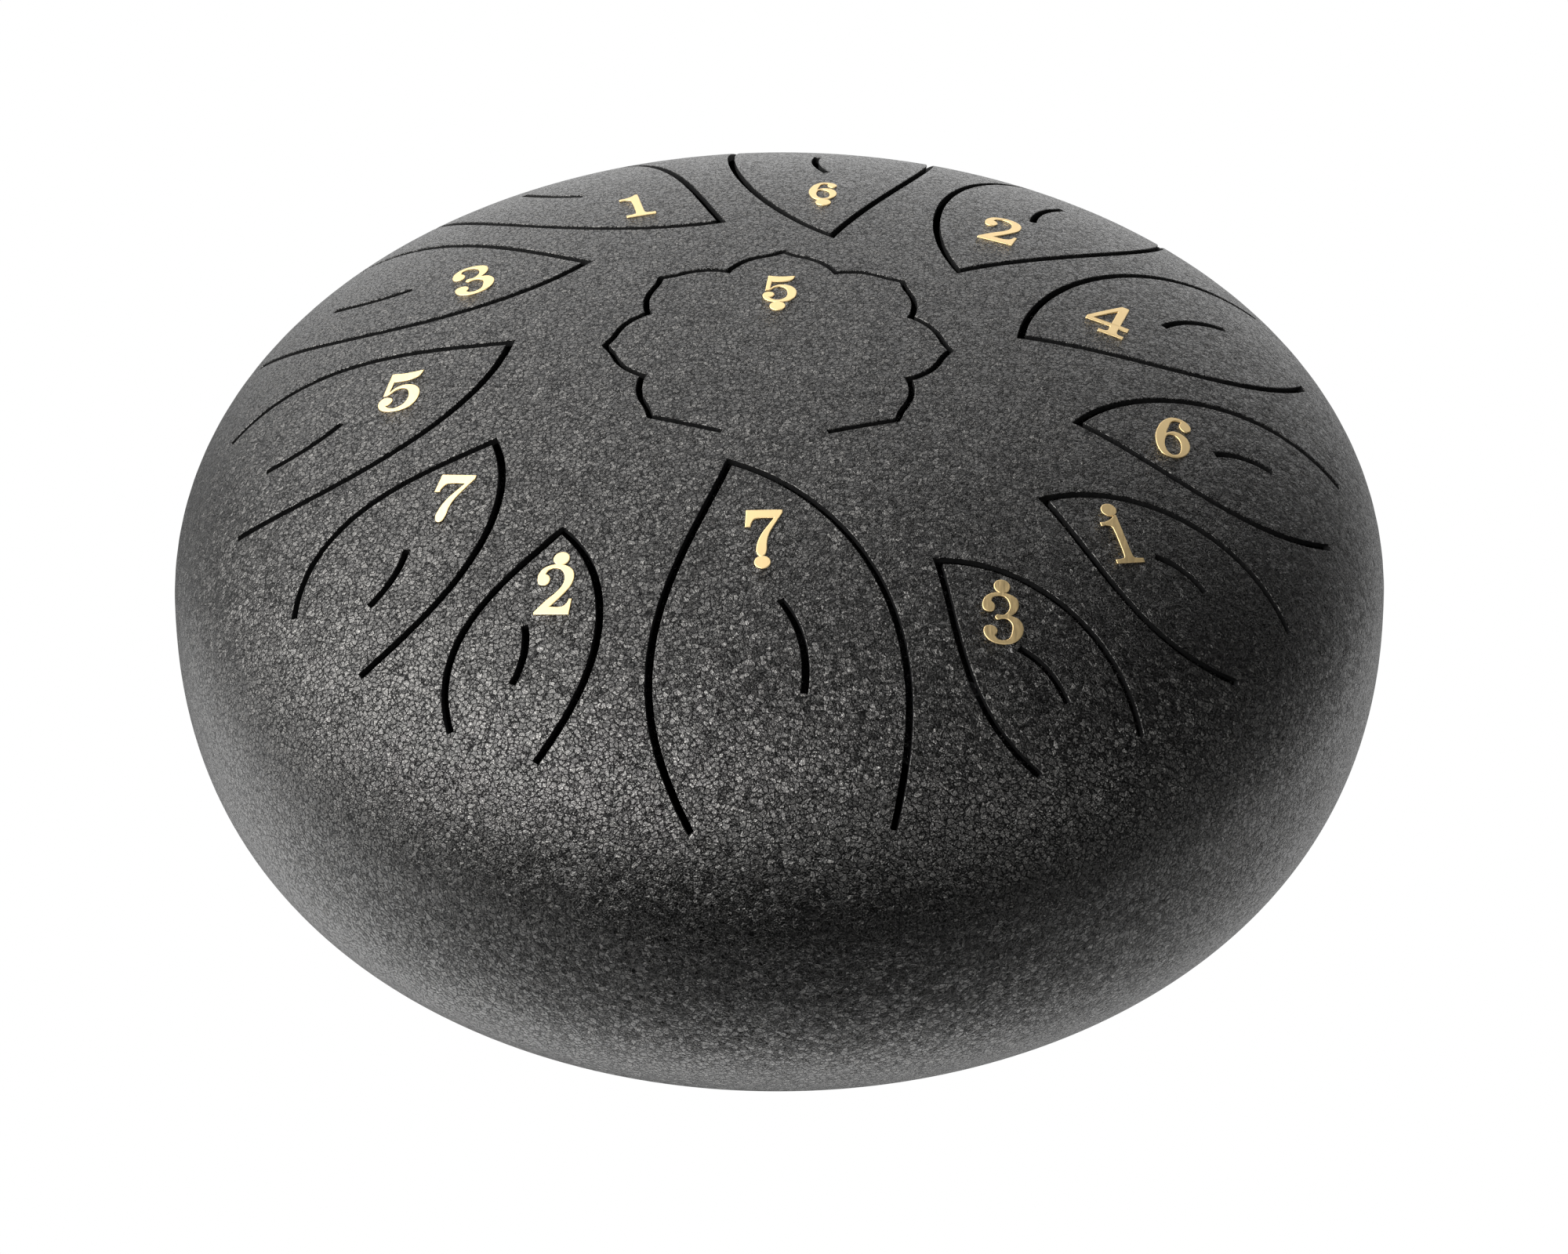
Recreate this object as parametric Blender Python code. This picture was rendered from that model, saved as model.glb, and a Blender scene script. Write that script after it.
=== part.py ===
"""Thirteen-note steel tongue drum: two welded bowls, cut notes, note numbers and feet."""
import math

import bmesh
import bpy
from mathutils import Vector, geometry

MM = 0.001

# ---- driving sizes, metres ----
RADIUS = 152.5 * MM
WALL = 1.8 * MM
EQUATOR_Z = 83.5 * MM
CROWN_RISE = 0.497 * RADIUS
BASE_DROP = 0.508 * RADIUS
SLOT_W = 1.8 * MM
LOTUS_SLOT_W = 1.5 * MM
ROOT_GAP = 0.3 * MM
WELD_H = 1.2 * MM
GAP = 0.3 * MM
SOUND_HOLE_R = 42.5 * MM
CUT_Z = (EQUATOR_Z - 20 * MM, EQUATOR_Z + 100 * MM)
LABEL_LIFT = 0.40 * MM
LABEL_T = 0.30 * MM
DOT_R = 2.0 * MM
DOT_REACH = 1.75 * MM

FOOT_PCD_R = 69.0 * MM
FOOT_TOP_R = 11.0 * MM
FOOT_BASE_R = 9.6 * MM
FOOT_BORE_R = 2.2 * MM
RECESS_R = 4.7 * MM
RECESS_H = 3.6 * MM
SHELL_HOLE_R = 2.35 * MM
SCREW_R = 1.9 * MM
SCREW_HEAD_R = 3.8 * MM
SCREW_HEAD_H = 2.4 * MM
WASHER_R = 4.5 * MM
WASHER_T = 0.8 * MM
NUT_AF = 7.0 * MM
NUT_T = 3.2 * MM
NUT_BORE_R = 2.25 * MM

# ---- facet counts ----
SEGMENTS = 48
CROWN_RINGS = 13
BASE_RINGS = 9
SIDE_STEPS = 11

# Leaf notes. Radii are parts of RADIUS; azimuths are degrees clockwise from the back, seen from above.
# name, tip radius, tip azimuth, root radius, azimuth of the two slot ends, fullness of the round
# side and of the waved side
LEAVES = (
    ("low_6", 0.351, 13.7, 0.923, 356.5, 13.6, 0.90, 0.90),
    ("mid_2", 0.382, 50.1, 0.913, 33.0, 44.0, 0.99, 1.02),
    ("mid_4", 0.399, 81.6, 0.888, 63.4, 77.3, 0.94, 1.11),
    ("mid_6", 0.509, 107.8, 0.918, 92.8, 103.1, 0.85, 1.12),
    ("high_1", 0.555, 129.5, 0.926, 117.5, 127.3, 0.90, 1.10),
    ("high_3", 0.575, 153.0, 0.918, 140.8, 152.6, 0.98, 1.04),
    ("low_7", 0.321, 192.6, 0.939, 167.9, 187.1, 0.99, 1.00),
    ("high_2", 0.555, 216.6, 0.897, 203.6, 213.5, 1.05, 1.02),
    ("mid_7", 0.501, 243.7, 0.890, 226.4, 238.6, 1.07, 0.98),
    ("mid_5", 0.438, 275.2, 0.900, 254.8, 271.9, 1.14, 0.80),
    ("mid_3", 0.421, 310.3, 0.912, 287.2, 304.5, 1.15, 0.62),
    ("mid_1", 0.406, 345.4, 0.915, 317.5, 334.5, 1.00, 0.95),
)

# Vein slot of each leaf: inner end, outer end (x to the right, y to the back, parts of RADIUS), bulge.
VEINS = {
    "low_6": (0.070, 0.618, 0.053, 0.730, 0.10),
    "mid_2": (0.418, 0.475, 0.470, 0.583, 0.10),
    "mid_4": (0.631, 0.179, 0.736, 0.247, 0.10),
    "mid_6": (0.707, -0.146, 0.802, -0.129, 0.10),
    "high_1": (0.605, -0.418, 0.684, -0.450, 0.10),
    "high_3": (0.389, -0.649, 0.464, -0.712, 0.10),
    "low_7": (0.016, -0.605, 0.056, -0.763, 0.10),
    "high_2": (-0.383, -0.618, -0.399, -0.709, 0.10),
    "mid_7": (-0.579, -0.426, -0.635, -0.509, 0.10),
    "mid_5": (-0.706, -0.085, -0.828, -0.124, 0.10),
    "mid_3": (-0.614, 0.283, -0.747, 0.313, 0.10),
    "mid_1": (-0.342, 0.555, -0.445, 0.645, 0.10),
}

# Half a petal of the centre note: degrees from the petal's axis, radius as a part of RADIUS.
PETAL = ((0.0, 0.279), (3.0, 0.2715), (8.0, 0.2632), (15.0, 0.2535), (22.5, 0.2320))
LOTUS_END = (0.085, -0.238)

# Note numbers: digit, centre x and y in millimetres, lean clockwise in degrees, digit height in
# millimetres, dot side (+1 above, -1 below, 0 none), dot shift sideways in millimetres
LABELS = {
    "low_5": ("5", 0.0, 23.9, 0.0, 12.5, -1, -0.4),
    "low_6": ("6", 9.9, 79.3, 1.0, 12.3, -1, 0.3),
    "low_7": ("7", -1.8, -72.3, -2.0, 15.2, -1, -0.5),
    "mid_1": ("1", -37.7, 72.8, -11.0, 15.0, 0, 0.0),
    "mid_2": ("2", 55.4, 63.4, 14.0, 15.6, 0, 0.0),
    "mid_3": ("3", -77.7, 40.1, -6.0, 15.6, 0, 0.0),
    "mid_4": ("4", 82.6, 24.4, 15.0, 15.6, 0, 0.0),
    "mid_5": ("5", -93.1, -6.9, 7.0, 15.6, 0, 0.0),
    "mid_6": ("6", 97.4, -21.0, 4.0, 15.6, 0, 0.0),
    "mid_7": ("7", -78.4, -51.7, 14.0, 15.6, 0, 0.0),
    "high_1": ("1", 83.9, -61.4, -19.0, 14.6, 1, 0.0),
    "high_2": ("2", -51.5, -85.7, 7.0, 14.8, 1, 0.3),
    "high_3": ("3", 55.4, -92.0, 0.0, 14.8, 1, -0.2),
}

# Digit outlines, 100 high, standing on 0 and centred across; a second loop is a hole.
DIGITS = {
    "1": (((-25, 86), (-25, 78), (-15, 79), (-9, 78), (-6, 73), (-6, 14), (-9, 9), (-24, 8), (-24, 0),
           (27, 0), (27, 8), (12, 9), (9, 14), (9, 100), (3, 100), (-3, 93), (-14, 87)),),
    "2": (((-31, 67), (-31, 80), (-23, 94), (-6, 100), (12, 98), (25, 88), (29, 73), (26, 57), (14, 37),
           (-3, 15), (15, 15), (23, 20), (27, 31), (31, 32), (31, 0), (-28, 0), (-28, 5), (-11, 27),
           (6, 47), (13, 63), (12, 78), (5, 89), (-6, 92), (-16, 87), (-20, 79), (-13, 75), (-11, 67),
           (-14, 59), (-22, 57), (-28, 60)),),
    "3": (((-30, 87), (-20, 96), (-4, 100), (13, 97), (24, 89), (26, 77), (22, 65), (15, 56), (25, 52),
           (32, 43), (34, 32), (29, 16), (15, 4), (-4, 0), (-20, 4), (-29, 13), (-31, 23), (-28, 31),
           (-20, 33), (-12, 30), (-9, 23), (-13, 15), (-8, 9), (2, 8), (11, 14), (15, 26), (15, 40),
           (8, 47), (0, 49), (-9, 45), (-13, 51), (-9, 55), (0, 56), (7, 62), (11, 73), (8, 86),
           (2, 92), (-8, 93), (-17, 89), (-20, 80), (-15, 76), (-13, 69), (-16, 62), (-24, 60),
           (-31, 63), (-34, 70), (-33, 78)),),
    "4": (((8, 100), (19, 100), (21, 98), (21, 37), (36, 37), (36, 26), (21, 26), (21, 12), (24, 8),
           (34, 7), (34, 0), (-9, 0), (-9, 7), (2, 8), (6, 12), (6, 26), (-36, 26), (-36, 36)),
          ((6, 36), (6, 80), (-24, 36))),
    "5": (((-24, 100), (0, 98), (30, 100), (26, 87), (17, 80), (5, 77), (-16, 77), (-19, 50), (-12, 59),
           (2, 66), (20, 62), (31, 50), (34, 34), (30, 17), (19, 5), (0, 0), (-18, 3), (-30, 12),
           (-34, 25), (-30, 35), (-22, 38), (-13, 35), (-10, 27), (-14, 20), (-20, 17), (-14, 11),
           (-3, 8), (9, 14), (15, 26), (15, 41), (10, 53), (1, 58), (-9, 55), (-17, 47), (-21, 44),
           (-29, 43)),),
    "6": (((5, 100), (-9, 95), (-21, 79), (-28, 56), (-29, 37), (-24, 16), (-15, 3), (1, 0), (16, 6),
           (26, 20), (29, 37), (24, 54), (14, 62), (2, 64), (-5, 61), (-11, 56), (-9, 69), (-5, 85),
           (2, 92), (10, 93), (8, 84), (11, 76), (19, 71), (26, 75), (27, 83), (24, 92), (16, 98)),
          ((0, 54), (9, 48), (14, 33), (12, 14), (2, 6), (-8, 12), (-13, 28), (-12, 43), (-8, 52))),
    "7": (((-28, 100), (30, 100), (30, 93), (17, 67), (9, 49), (5, 32), (4, 10), (2, 3), (-5, 0),
           (-11, 3), (-13, 13), (-10, 32), (-3, 50), (7, 67), (16, 81), (-5, 82), (-14, 80), (-19, 72),
           (-21, 63), (-30, 63)),),
}

for old in list(bpy.data.objects):
    bpy.data.objects.remove(old, do_unlink=True)


# ---- materials ----
def material(name, colour, metallic, roughness):
    mat = bpy.data.materials.new(name)
    mat.use_nodes = True
    bsdf = mat.node_tree.nodes["Principled BSDF"]
    bsdf.inputs["Base Color"].default_value = (*colour, 1.0)
    bsdf.inputs["Metallic"].default_value = metallic
    bsdf.inputs["Roughness"].default_value = roughness
    return mat


COAT = material("textured_coating", (0.045, 0.045, 0.048), 0.3, 0.45)
NOTE_COAT = material("note_coating", (0.055, 0.055, 0.058), 0.3, 0.45)
WELD = material("painted_weld", (0.035, 0.035, 0.037), 0.3, 0.5)
GOLD = material("gold_plate", (0.78, 0.58, 0.26), 1.0, 0.25)
RUBBER = material("black_rubber", (0.02, 0.02, 0.02), 0.0, 0.8)
STEEL = material("zinc_steel", (0.55, 0.55, 0.56), 1.0, 0.35)


# ---- bowl profiles ----
def bezier(p0, p1, p2, p3, count):
    points = []
    for i in range(count + 1):
        t = i / count
        s = 1.0 - t
        points.append(p0 * s ** 3 + p1 * (3 * s * s * t) + p2 * (3 * s * t * t) + p3 * t ** 3)
    return points


def dense_profile(is_crown):
    """Outer half profile as (radius, height over the equator), from the pole outwards."""
    if is_crown:
        knots = ((0, 1), (1.040, 1), (1, 0.141), (1, 0))
        rise = CROWN_RISE
    else:
        knots = ((0, 1), (0.546, 1), (1, 1.012), (1, 0))
        rise = -BASE_DROP
    points = bezier(*(Vector((a * RADIUS, b * rise)) for a, b in knots), 400)
    return [Vector((min(p.x, RADIUS), p.y)) for p in points]


CROWN = dense_profile(True)
BASE = dense_profile(False)


def height(profile, r):
    """Height of the outer surface above the floor at radius r."""
    for a, b in zip(profile, profile[1:]):
        if b.x >= r:
            share = (r - a.x) / max(b.x - a.x, 1e-12)
            return EQUATOR_Z + a.y + (b.y - a.y) * share
    return EQUATOR_Z


def normal_at(x, y):
    """Outward unit normal of the crown over the plan point."""
    r = max(math.hypot(x, y), 1e-6)
    step = 0.2 * MM
    slope = (height(CROWN, r + step) - height(CROWN, max(r - step, 0.0))) / (2 * step)
    return Vector((-slope * x / r, -slope * y / r, 1.0)).normalized()


def resample(points, count):
    """The same line in equal steps along its length."""
    lengths = [0.0]
    for a, b in zip(points, points[1:]):
        lengths.append(lengths[-1] + (b - a).length)
    out = []
    j = 0
    for i in range(count + 1):
        want = lengths[-1] * i / count
        while j < len(points) - 2 and lengths[j + 1] < want:
            j += 1
        share = (want - lengths[j]) / max(lengths[j + 1] - lengths[j], 1e-12)
        out.append(points[j].lerp(points[j + 1], min(max(share, 0.0), 1.0)))
    return out


def wall_section(profile, rings, sign, start_r):
    """Closed section of one bowl: the outer line and the same line moved in by the wall."""
    edge = sign * (WELD_H / 2 + GAP)
    kept = [p for p in profile if p.x >= start_r and sign * (p.y - edge) > 0]
    kept.append(Vector((RADIUS, edge)))
    outer = resample(kept, rings)
    inner = []
    for i, p in enumerate(outer):
        along = outer[min(i + 1, rings)] - outer[max(i - 1, 0)]
        if i == 0 and start_r == 0:
            along = Vector((1.0, 0.0))
        if i == rings:
            along = Vector((0.0, -sign))
        side = Vector((along.y, -along.x)).normalized() * sign
        inner.append(p + side * WALL)
    if start_r == 0:
        inner[0].x = 0.0
    return outer + inner[::-1]


# ---- mesh builders ----
def finish_mesh(name, bm, mat, origin=None):
    bmesh.ops.recalc_face_normals(bm, faces=bm.faces)
    if origin is not None:
        bmesh.ops.translate(bm, verts=bm.verts, vec=-Vector(origin))
    mesh = bpy.data.meshes.new(name)
    bm.to_mesh(mesh)
    bm.free()
    mesh.materials.append(mat)
    obj = bpy.data.objects.new(name, mesh)
    bpy.context.scene.collection.objects.link(obj)
    if origin is not None:
        obj.location = origin
    return obj


def revolve(bm, section, segments, centre=(0.0, 0.0), base_z=0.0, turn=0.0, lift=None):
    """Turn a closed section of (radius, height) about a vertical line."""
    columns = []
    for p in section:
        if p[0] < 1e-7:
            vert = bm.verts.new((centre[0], centre[1], base_z + p[1]))
            columns.append([vert] * segments)
            continue
        ring = []
        for k in range(segments):
            angle = turn + 2 * math.pi * k / segments
            x = centre[0] + p[0] * math.cos(angle)
            y = centre[1] + p[0] * math.sin(angle)
            z = base_z + p[1]
            if lift is not None:
                z = lift(x, y, z)
            ring.append(bm.verts.new((x, y, z)))
        columns.append(ring)
    for a, b in zip(columns, columns[1:] + columns[:1]):
        for k in range(segments):
            n = (k + 1) % segments
            corners = []
            for vert in (a[k], a[n], b[n], b[k]):
                if vert not in corners:
                    corners.append(vert)
            if len(corners) > 2:
                bm.faces.new(corners)


def prism(bm, outline, low, high):
    bottom = [bm.verts.new((p.x, p.y, low)) for p in outline]
    top = [bm.verts.new((p.x, p.y, high)) for p in outline]
    bm.faces.new(bottom)
    bm.faces.new(top)
    for i in range(len(outline)):
        j = (i + 1) % len(outline)
        bm.faces.new((bottom[i], bottom[j], top[j], top[i]))


def boolean(obj, cutter, operation):
    """Apply one exact boolean and leave a clean mesh on the object."""
    mod = obj.modifiers.new("cut", "BOOLEAN")
    mod.object = cutter
    mod.operation = operation
    mod.solver = "EXACT"
    graph = bpy.context.evaluated_depsgraph_get()
    result = bpy.data.meshes.new_from_object(obj.evaluated_get(graph))
    obj.modifiers.clear()
    keep = list(obj.data.materials)
    bm = bmesh.new()
    bm.from_mesh(result)
    bmesh.ops.remove_doubles(bm, verts=bm.verts, dist=2e-6)
    bmesh.ops.dissolve_degenerate(bm, edges=bm.edges, dist=2e-6)
    bmesh.ops.triangulate(bm, faces=[f for f in bm.faces if len(f.verts) > 4])
    bm.to_mesh(result)
    bm.free()
    result.materials.clear()
    result.materials.append(keep[0])
    for poly in result.polygons:
        poly.material_index = 0
    result.name = obj.data.name
    obj.data = result


def cutter_from(outline, low, high):
    bm = bmesh.new()
    prism(bm, outline, low, high)
    return finish_mesh("cutter", bm, STEEL)


# ---- note outlines, in plan ----
def polar(r, azimuth):
    a = math.radians(azimuth)
    return Vector((math.sin(a), math.cos(a))) * r * RADIUS


def left_of(v):
    return Vector((-v.y, v.x))


def leaf_rim(leaf):
    """Centre line of a leaf's slot, with the leaf on its left: round side, tip, waved side."""
    _, tip_r, tip_az, root_r, az_a, az_b, full_a, full_b = leaf
    tip = polar(tip_r, tip_az)
    end_a = polar(root_r, az_a)
    end_b = polar(root_r, az_b)
    axis = (end_a + end_b) / 2 - tip
    side = left_of(axis)

    def at(u, v):
        return tip + axis * u + side * v

    round_side = bezier(tip, at(0.21, 0.32 * full_a), at(0.70, 0.44 * full_a), end_a, SIDE_STEPS)
    waved_side = bezier(tip, at(0.30, -0.15 * full_b), at(0.63, -0.44 * full_b), end_b, SIDE_STEPS)
    return round_side[::-1] + waved_side[1:]


def lotus_rim():
    """Centre line of the centre note's slot, from its right end round the back to its left end."""
    rise = [(-a, r) for a, r in reversed(PETAL[1:])]
    fall = list(PETAL[:-1])
    points = [Vector(LOTUS_END) * RADIUS]
    for petal in range(3, -4, -1):
        folds = fall if petal == 3 else rise + fall
        if petal == -3:
            folds = rise + fall[:1]
        points += [polar(r, petal * 45 - offset) for offset, r in folds]
    points.append(Vector((-LOTUS_END[0], LOTUS_END[1])) * RADIUS)
    return points


def offset_line(points, distance):
    """Move an open line to its left, with mitred corners."""
    out = []
    for i, p in enumerate(points):
        before = (p - points[i - 1]).normalized() if i else None
        after = (points[i + 1] - p).normalized() if i < len(points) - 1 else None
        if before is None or after is None:
            out.append(p + left_of(after or before) * distance)
            continue
        joint = (left_of(before) + left_of(after)).normalized()
        out.append(p + joint * distance / max(joint.dot(left_of(before)), 0.4))
    return out


def arc(centre, start, end, steps):
    """Points on a circle about centre, counter-clockwise from start to end, ends included."""
    a0 = math.atan2(start.y - centre.y, start.x - centre.x)
    sweep = (math.atan2(end.y - centre.y, end.x - centre.x) - a0) % (2 * math.pi)
    radius = (start - centre).length
    turns = [a0 + sweep * i / steps for i in range(steps + 1)]
    return [centre + Vector((math.cos(a), math.sin(a))) * radius for a in turns]


def note_outlines(rim, width):
    """Outline of the loose note, outline of its opening in the bowl, and its root ends."""
    end_a, end_b = rim[0], rim[-1]
    chord = (end_b - end_a).normalized()
    inward = left_of(chord)
    if inward.dot(rim[len(rim) // 2] - end_a) < 0:
        inward = -inward
    half = width / 2
    gap = ROOT_GAP / 2
    inner = offset_line(rim, half)
    outer = offset_line(rim, -half)
    first = inner[0] + (inner[0] - inner[1]).normalized() * 4 * MM
    last = inner[-1] + (inner[-1] - inner[-2]).normalized() * 4 * MM
    line = [first] + inner + [last]
    depth = [(p - end_a).dot(inward) - gap for p in line]
    note = []
    for i, p in enumerate(line):
        if depth[i] > 0:
            note.append(p)
        if i < len(line) - 1 and depth[i] * depth[i + 1] < 0:
            share = depth[i] / (depth[i] - depth[i + 1])
            note.append(p.lerp(line[i + 1], share))
    reach = math.sqrt(half * half - gap * gap)
    foot_a = end_a + chord * reach - inward * gap
    foot_b = end_b - chord * reach - inward * gap
    opening = outer[:-1] + arc(end_b, outer[-1], foot_b, 4) + arc(end_a, foot_a, outer[0], 4)[:-1]
    return note, opening, end_a, end_b, inward


def vein_outline(vein, convex_side):
    """Round-ended slot along a shallow arc that bulges towards the leaf's round side."""
    x0, y0, x1, y1, bulge = vein
    start = Vector((x0, y0)) * RADIUS
    end = Vector((x1, y1)) * RADIUS
    side = left_of(end - start)
    if side.dot(convex_side) < 0:
        side = -side
    half = SLOT_W / 2
    axis = (end - start).normalized()
    start += axis * half
    end -= axis * half
    line = []
    for i in range(5):
        t = i / 4
        line.append(start.lerp(end, t) + side * bulge * 4 * t * (1 - t))
    left = offset_line(line, half)
    right = offset_line(line, -half)
    return right[:-1] + arc(line[-1], right[-1], left[-1], 4) + left[-2:0:-1] + \
        arc(line[0], left[0], right[0], 4)[:-1]


# ---- bowls ----
bm = bmesh.new()
revolve(bm, wall_section(CROWN, CROWN_RINGS, 1, 0.0), SEGMENTS, base_z=EQUATOR_Z)
crown = finish_mesh("upper_shell", bm, COAT)

bm = bmesh.new()
revolve(bm, wall_section(BASE, BASE_RINGS, -1, SOUND_HOLE_R), SEGMENTS, base_z=EQUATOR_Z)
base = finish_mesh("lower_shell", bm, COAT)

bm = bmesh.new()
ring = [(RADIUS - WALL, -WELD_H / 2), (RADIUS, -WELD_H / 2), (RADIUS, WELD_H / 2), (RADIUS - WALL, WELD_H / 2)]
revolve(bm, ring, SEGMENTS, base_z=EQUATOR_Z)
finish_mesh("seam_weld", bm, WELD)

# ---- notes: each is lifted out of a whole crown, then its opening is cut ----
openings = []
hinges = {}
rims = [("low_5", lotus_rim(), LOTUS_SLOT_W)] + [(leaf[0], leaf_rim(leaf), SLOT_W) for leaf in LEAVES]
for name, rim, width in rims:
    note, opening, end_a, end_b, inward = note_outlines(rim, width)
    openings.append(opening)
    mid = (end_a + end_b) / 2
    hinge = Vector((mid.x, mid.y, height(CROWN, end_a.length) - WALL / 2))
    hinges[name] = hinge
    tongue = bpy.data.objects.new("tongue_" + name, crown.data.copy())
    tongue.data.name = "tongue_" + name
    bpy.context.scene.collection.objects.link(tongue)
    cutter = cutter_from(note, *CUT_Z)
    boolean(tongue, cutter, "INTERSECT")
    bpy.data.objects.remove(cutter)
    if name in VEINS:
        cutter = cutter_from(vein_outline(VEINS[name], end_a - end_b), *CUT_Z)
        boolean(tongue, cutter, "DIFFERENCE")
        bpy.data.objects.remove(cutter)
    tongue.data.materials[0] = NOTE_COAT
    for vert in tongue.data.vertices:
        vert.co -= hinge
    tongue.location = hinge

for opening in openings:
    cutter = cutter_from(opening, *CUT_Z)
    boolean(crown, cutter, "DIFFERENCE")
    bpy.data.objects.remove(cutter)


# ---- note numbers ----
def circle(centre, radius, steps):
    turns = [2 * math.pi * i / steps for i in range(steps)]
    return [centre + Vector((math.cos(a), math.sin(a))) * radius for a in turns]


def is_clockwise(points):
    area = 0.0
    for a, b in zip(points, points[1:] + points[:1]):
        area += a.x * b.y - b.x * a.y
    return area < 0


def crossing(a, b, centre, radius):
    """Where the line from a, outside the circle, to b, inside it, meets the circle."""
    low, high = 0.0, 1.0
    for _ in range(40):
        mid = (low + high) / 2
        if (a.lerp(b, mid) - centre).length > radius:
            low = mid
        else:
            high = mid
    return a.lerp(b, high)


def join_dot(outline, centre, radius, steps):
    """Merge a round dot into the outline where the two overlap."""
    points = outline[::-1] if is_clockwise(outline) else list(outline)
    fine = []
    for a, b in zip(points, points[1:] + points[:1]):
        fine += [a.lerp(b, i / 6) for i in range(6)]
    inside = [(p - centre).length < radius for p in fine]
    first = next(i for i in range(len(fine)) if inside[i] and not inside[i - 1])
    fine = fine[first:] + fine[:first]
    inside = inside[first:] + inside[:first]
    run = max(i for i in range(len(fine)) if inside[i])
    enter = crossing(fine[-1], fine[0], centre, radius)
    leave = crossing(fine[(run + 1) % len(fine)], fine[run], centre, radius)
    corners = set((round(p.x, 9), round(p.y, 9)) for p in points)
    kept = [p for p in fine[run + 1:] if (round(p.x, 9), round(p.y, 9)) in corners]
    return arc(centre, enter, leave, steps) + kept


def label_outlines(label):
    digit, _, _, _, size, dot_side, shift = label
    scale = size * MM / 100
    loops = [[Vector((x, y - 50)) * scale for x, y in loop] for loop in DIGITS[digit]]
    if dot_side:
        centre = Vector((shift * MM, dot_side * (size / 2 * MM + DOT_REACH)))
        loops[0] = join_dot(loops[0], centre, DOT_R, 10)
    return loops


def wrap_point(frame, u, v, lift):
    """Carry a flat point onto the crown along the label's normal, then raise it."""
    centre, right, up, out = frame
    flat = centre + right * u + up * v
    drop = 0.0
    for _ in range(8):
        p = flat + out * drop
        drop += (height(CROWN, math.hypot(p.x, p.y)) - p.z) * out.z
    p = flat + out * drop
    return p + normal_at(p.x, p.y) * lift


def build_label(name, label):
    _, x, y, lean, _, dot_side, _ = label
    x *= MM
    y *= MM
    out = normal_at(x, y)
    a = math.radians(lean)
    up = Vector((math.sin(a), math.cos(a), 0.0))
    up.z = -(up.x * out.x + up.y * out.y) / out.z
    up.normalize()
    frame = (Vector((x, y, height(CROWN, math.hypot(x, y)))), up.cross(out), up, out)
    loops = label_outlines(label)
    triangles = geometry.tessellate_polygon([[Vector((p.x, p.y, 0.0)) for p in loop] for loop in loops])
    flat = [p for loop in loops for p in loop]
    bm = bmesh.new()
    low = [bm.verts.new(wrap_point(frame, p.x, p.y, LABEL_LIFT)) for p in flat]
    high = [bm.verts.new(wrap_point(frame, p.x, p.y, LABEL_LIFT + LABEL_T)) for p in flat]
    for tri in triangles:
        bm.faces.new([low[i] for i in tri])
        bm.faces.new([high[i] for i in tri])
    start = 0
    for loop in loops:
        count = len(loop)
        for i in range(count):
            j = (i + 1) % count
            bm.faces.new((low[start + i], low[start + j], high[start + j], high[start + i]))
        start += count
    finish_mesh("number_" + name, bm, GOLD, hinges[name])


for name, label in LABELS.items():
    build_label(name, label)


# ---- feet, screws, washers and nuts ----
def under_bowl(x, y):
    return height(BASE, math.hypot(x, y))


def in_bowl(r):
    """Height of the bowl's inner face at radius r, near the feet."""
    return height(BASE, r) + WALL * 1.01


FOOT_TOP_Z = height(BASE, FOOT_PCD_R) - 0.5 * MM
NUT_BED_Z = in_bowl(FOOT_PCD_R + WASHER_R) + GAP
SCREW_TOP_Z = NUT_BED_Z + WASHER_T + GAP + NUT_T + 1.2 * MM
HEAD_LOW_Z = RECESS_H - GAP - SCREW_HEAD_H
foot_centres = []
for k in range(4):
    a = math.radians(45 + 90 * k)
    foot_centres.append((FOOT_PCD_R * math.cos(a), FOOT_PCD_R * math.sin(a)))


def foot_lift(x, y, z):
    if z < FOOT_TOP_Z - 0.1 * MM:
        return z
    return under_bowl(x, y) - 0.5 * MM


foot_section = [
    (RECESS_R, 0.0), (FOOT_BASE_R - 0.6 * MM, 0.0), (FOOT_BASE_R, 0.6 * MM),
    (FOOT_TOP_R, FOOT_TOP_Z - 1.5 * MM), (FOOT_TOP_R, FOOT_TOP_Z), (FOOT_BORE_R, FOOT_TOP_Z),
    (FOOT_BORE_R, RECESS_H), (RECESS_R, RECESS_H),
]
screw_section = [
    (0.0, HEAD_LOW_Z), (SCREW_HEAD_R - 0.8 * MM, HEAD_LOW_Z), (SCREW_HEAD_R, HEAD_LOW_Z + 0.9 * MM),
    (SCREW_HEAD_R, HEAD_LOW_Z + SCREW_HEAD_H), (SCREW_R, HEAD_LOW_Z + SCREW_HEAD_H),
    (SCREW_R, SCREW_TOP_Z), (0.0, SCREW_TOP_Z),
]
washer_section = [(NUT_BORE_R, 0.0), (WASHER_R, 0.0), (WASHER_R, WASHER_T), (NUT_BORE_R, WASHER_T)]


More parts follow.
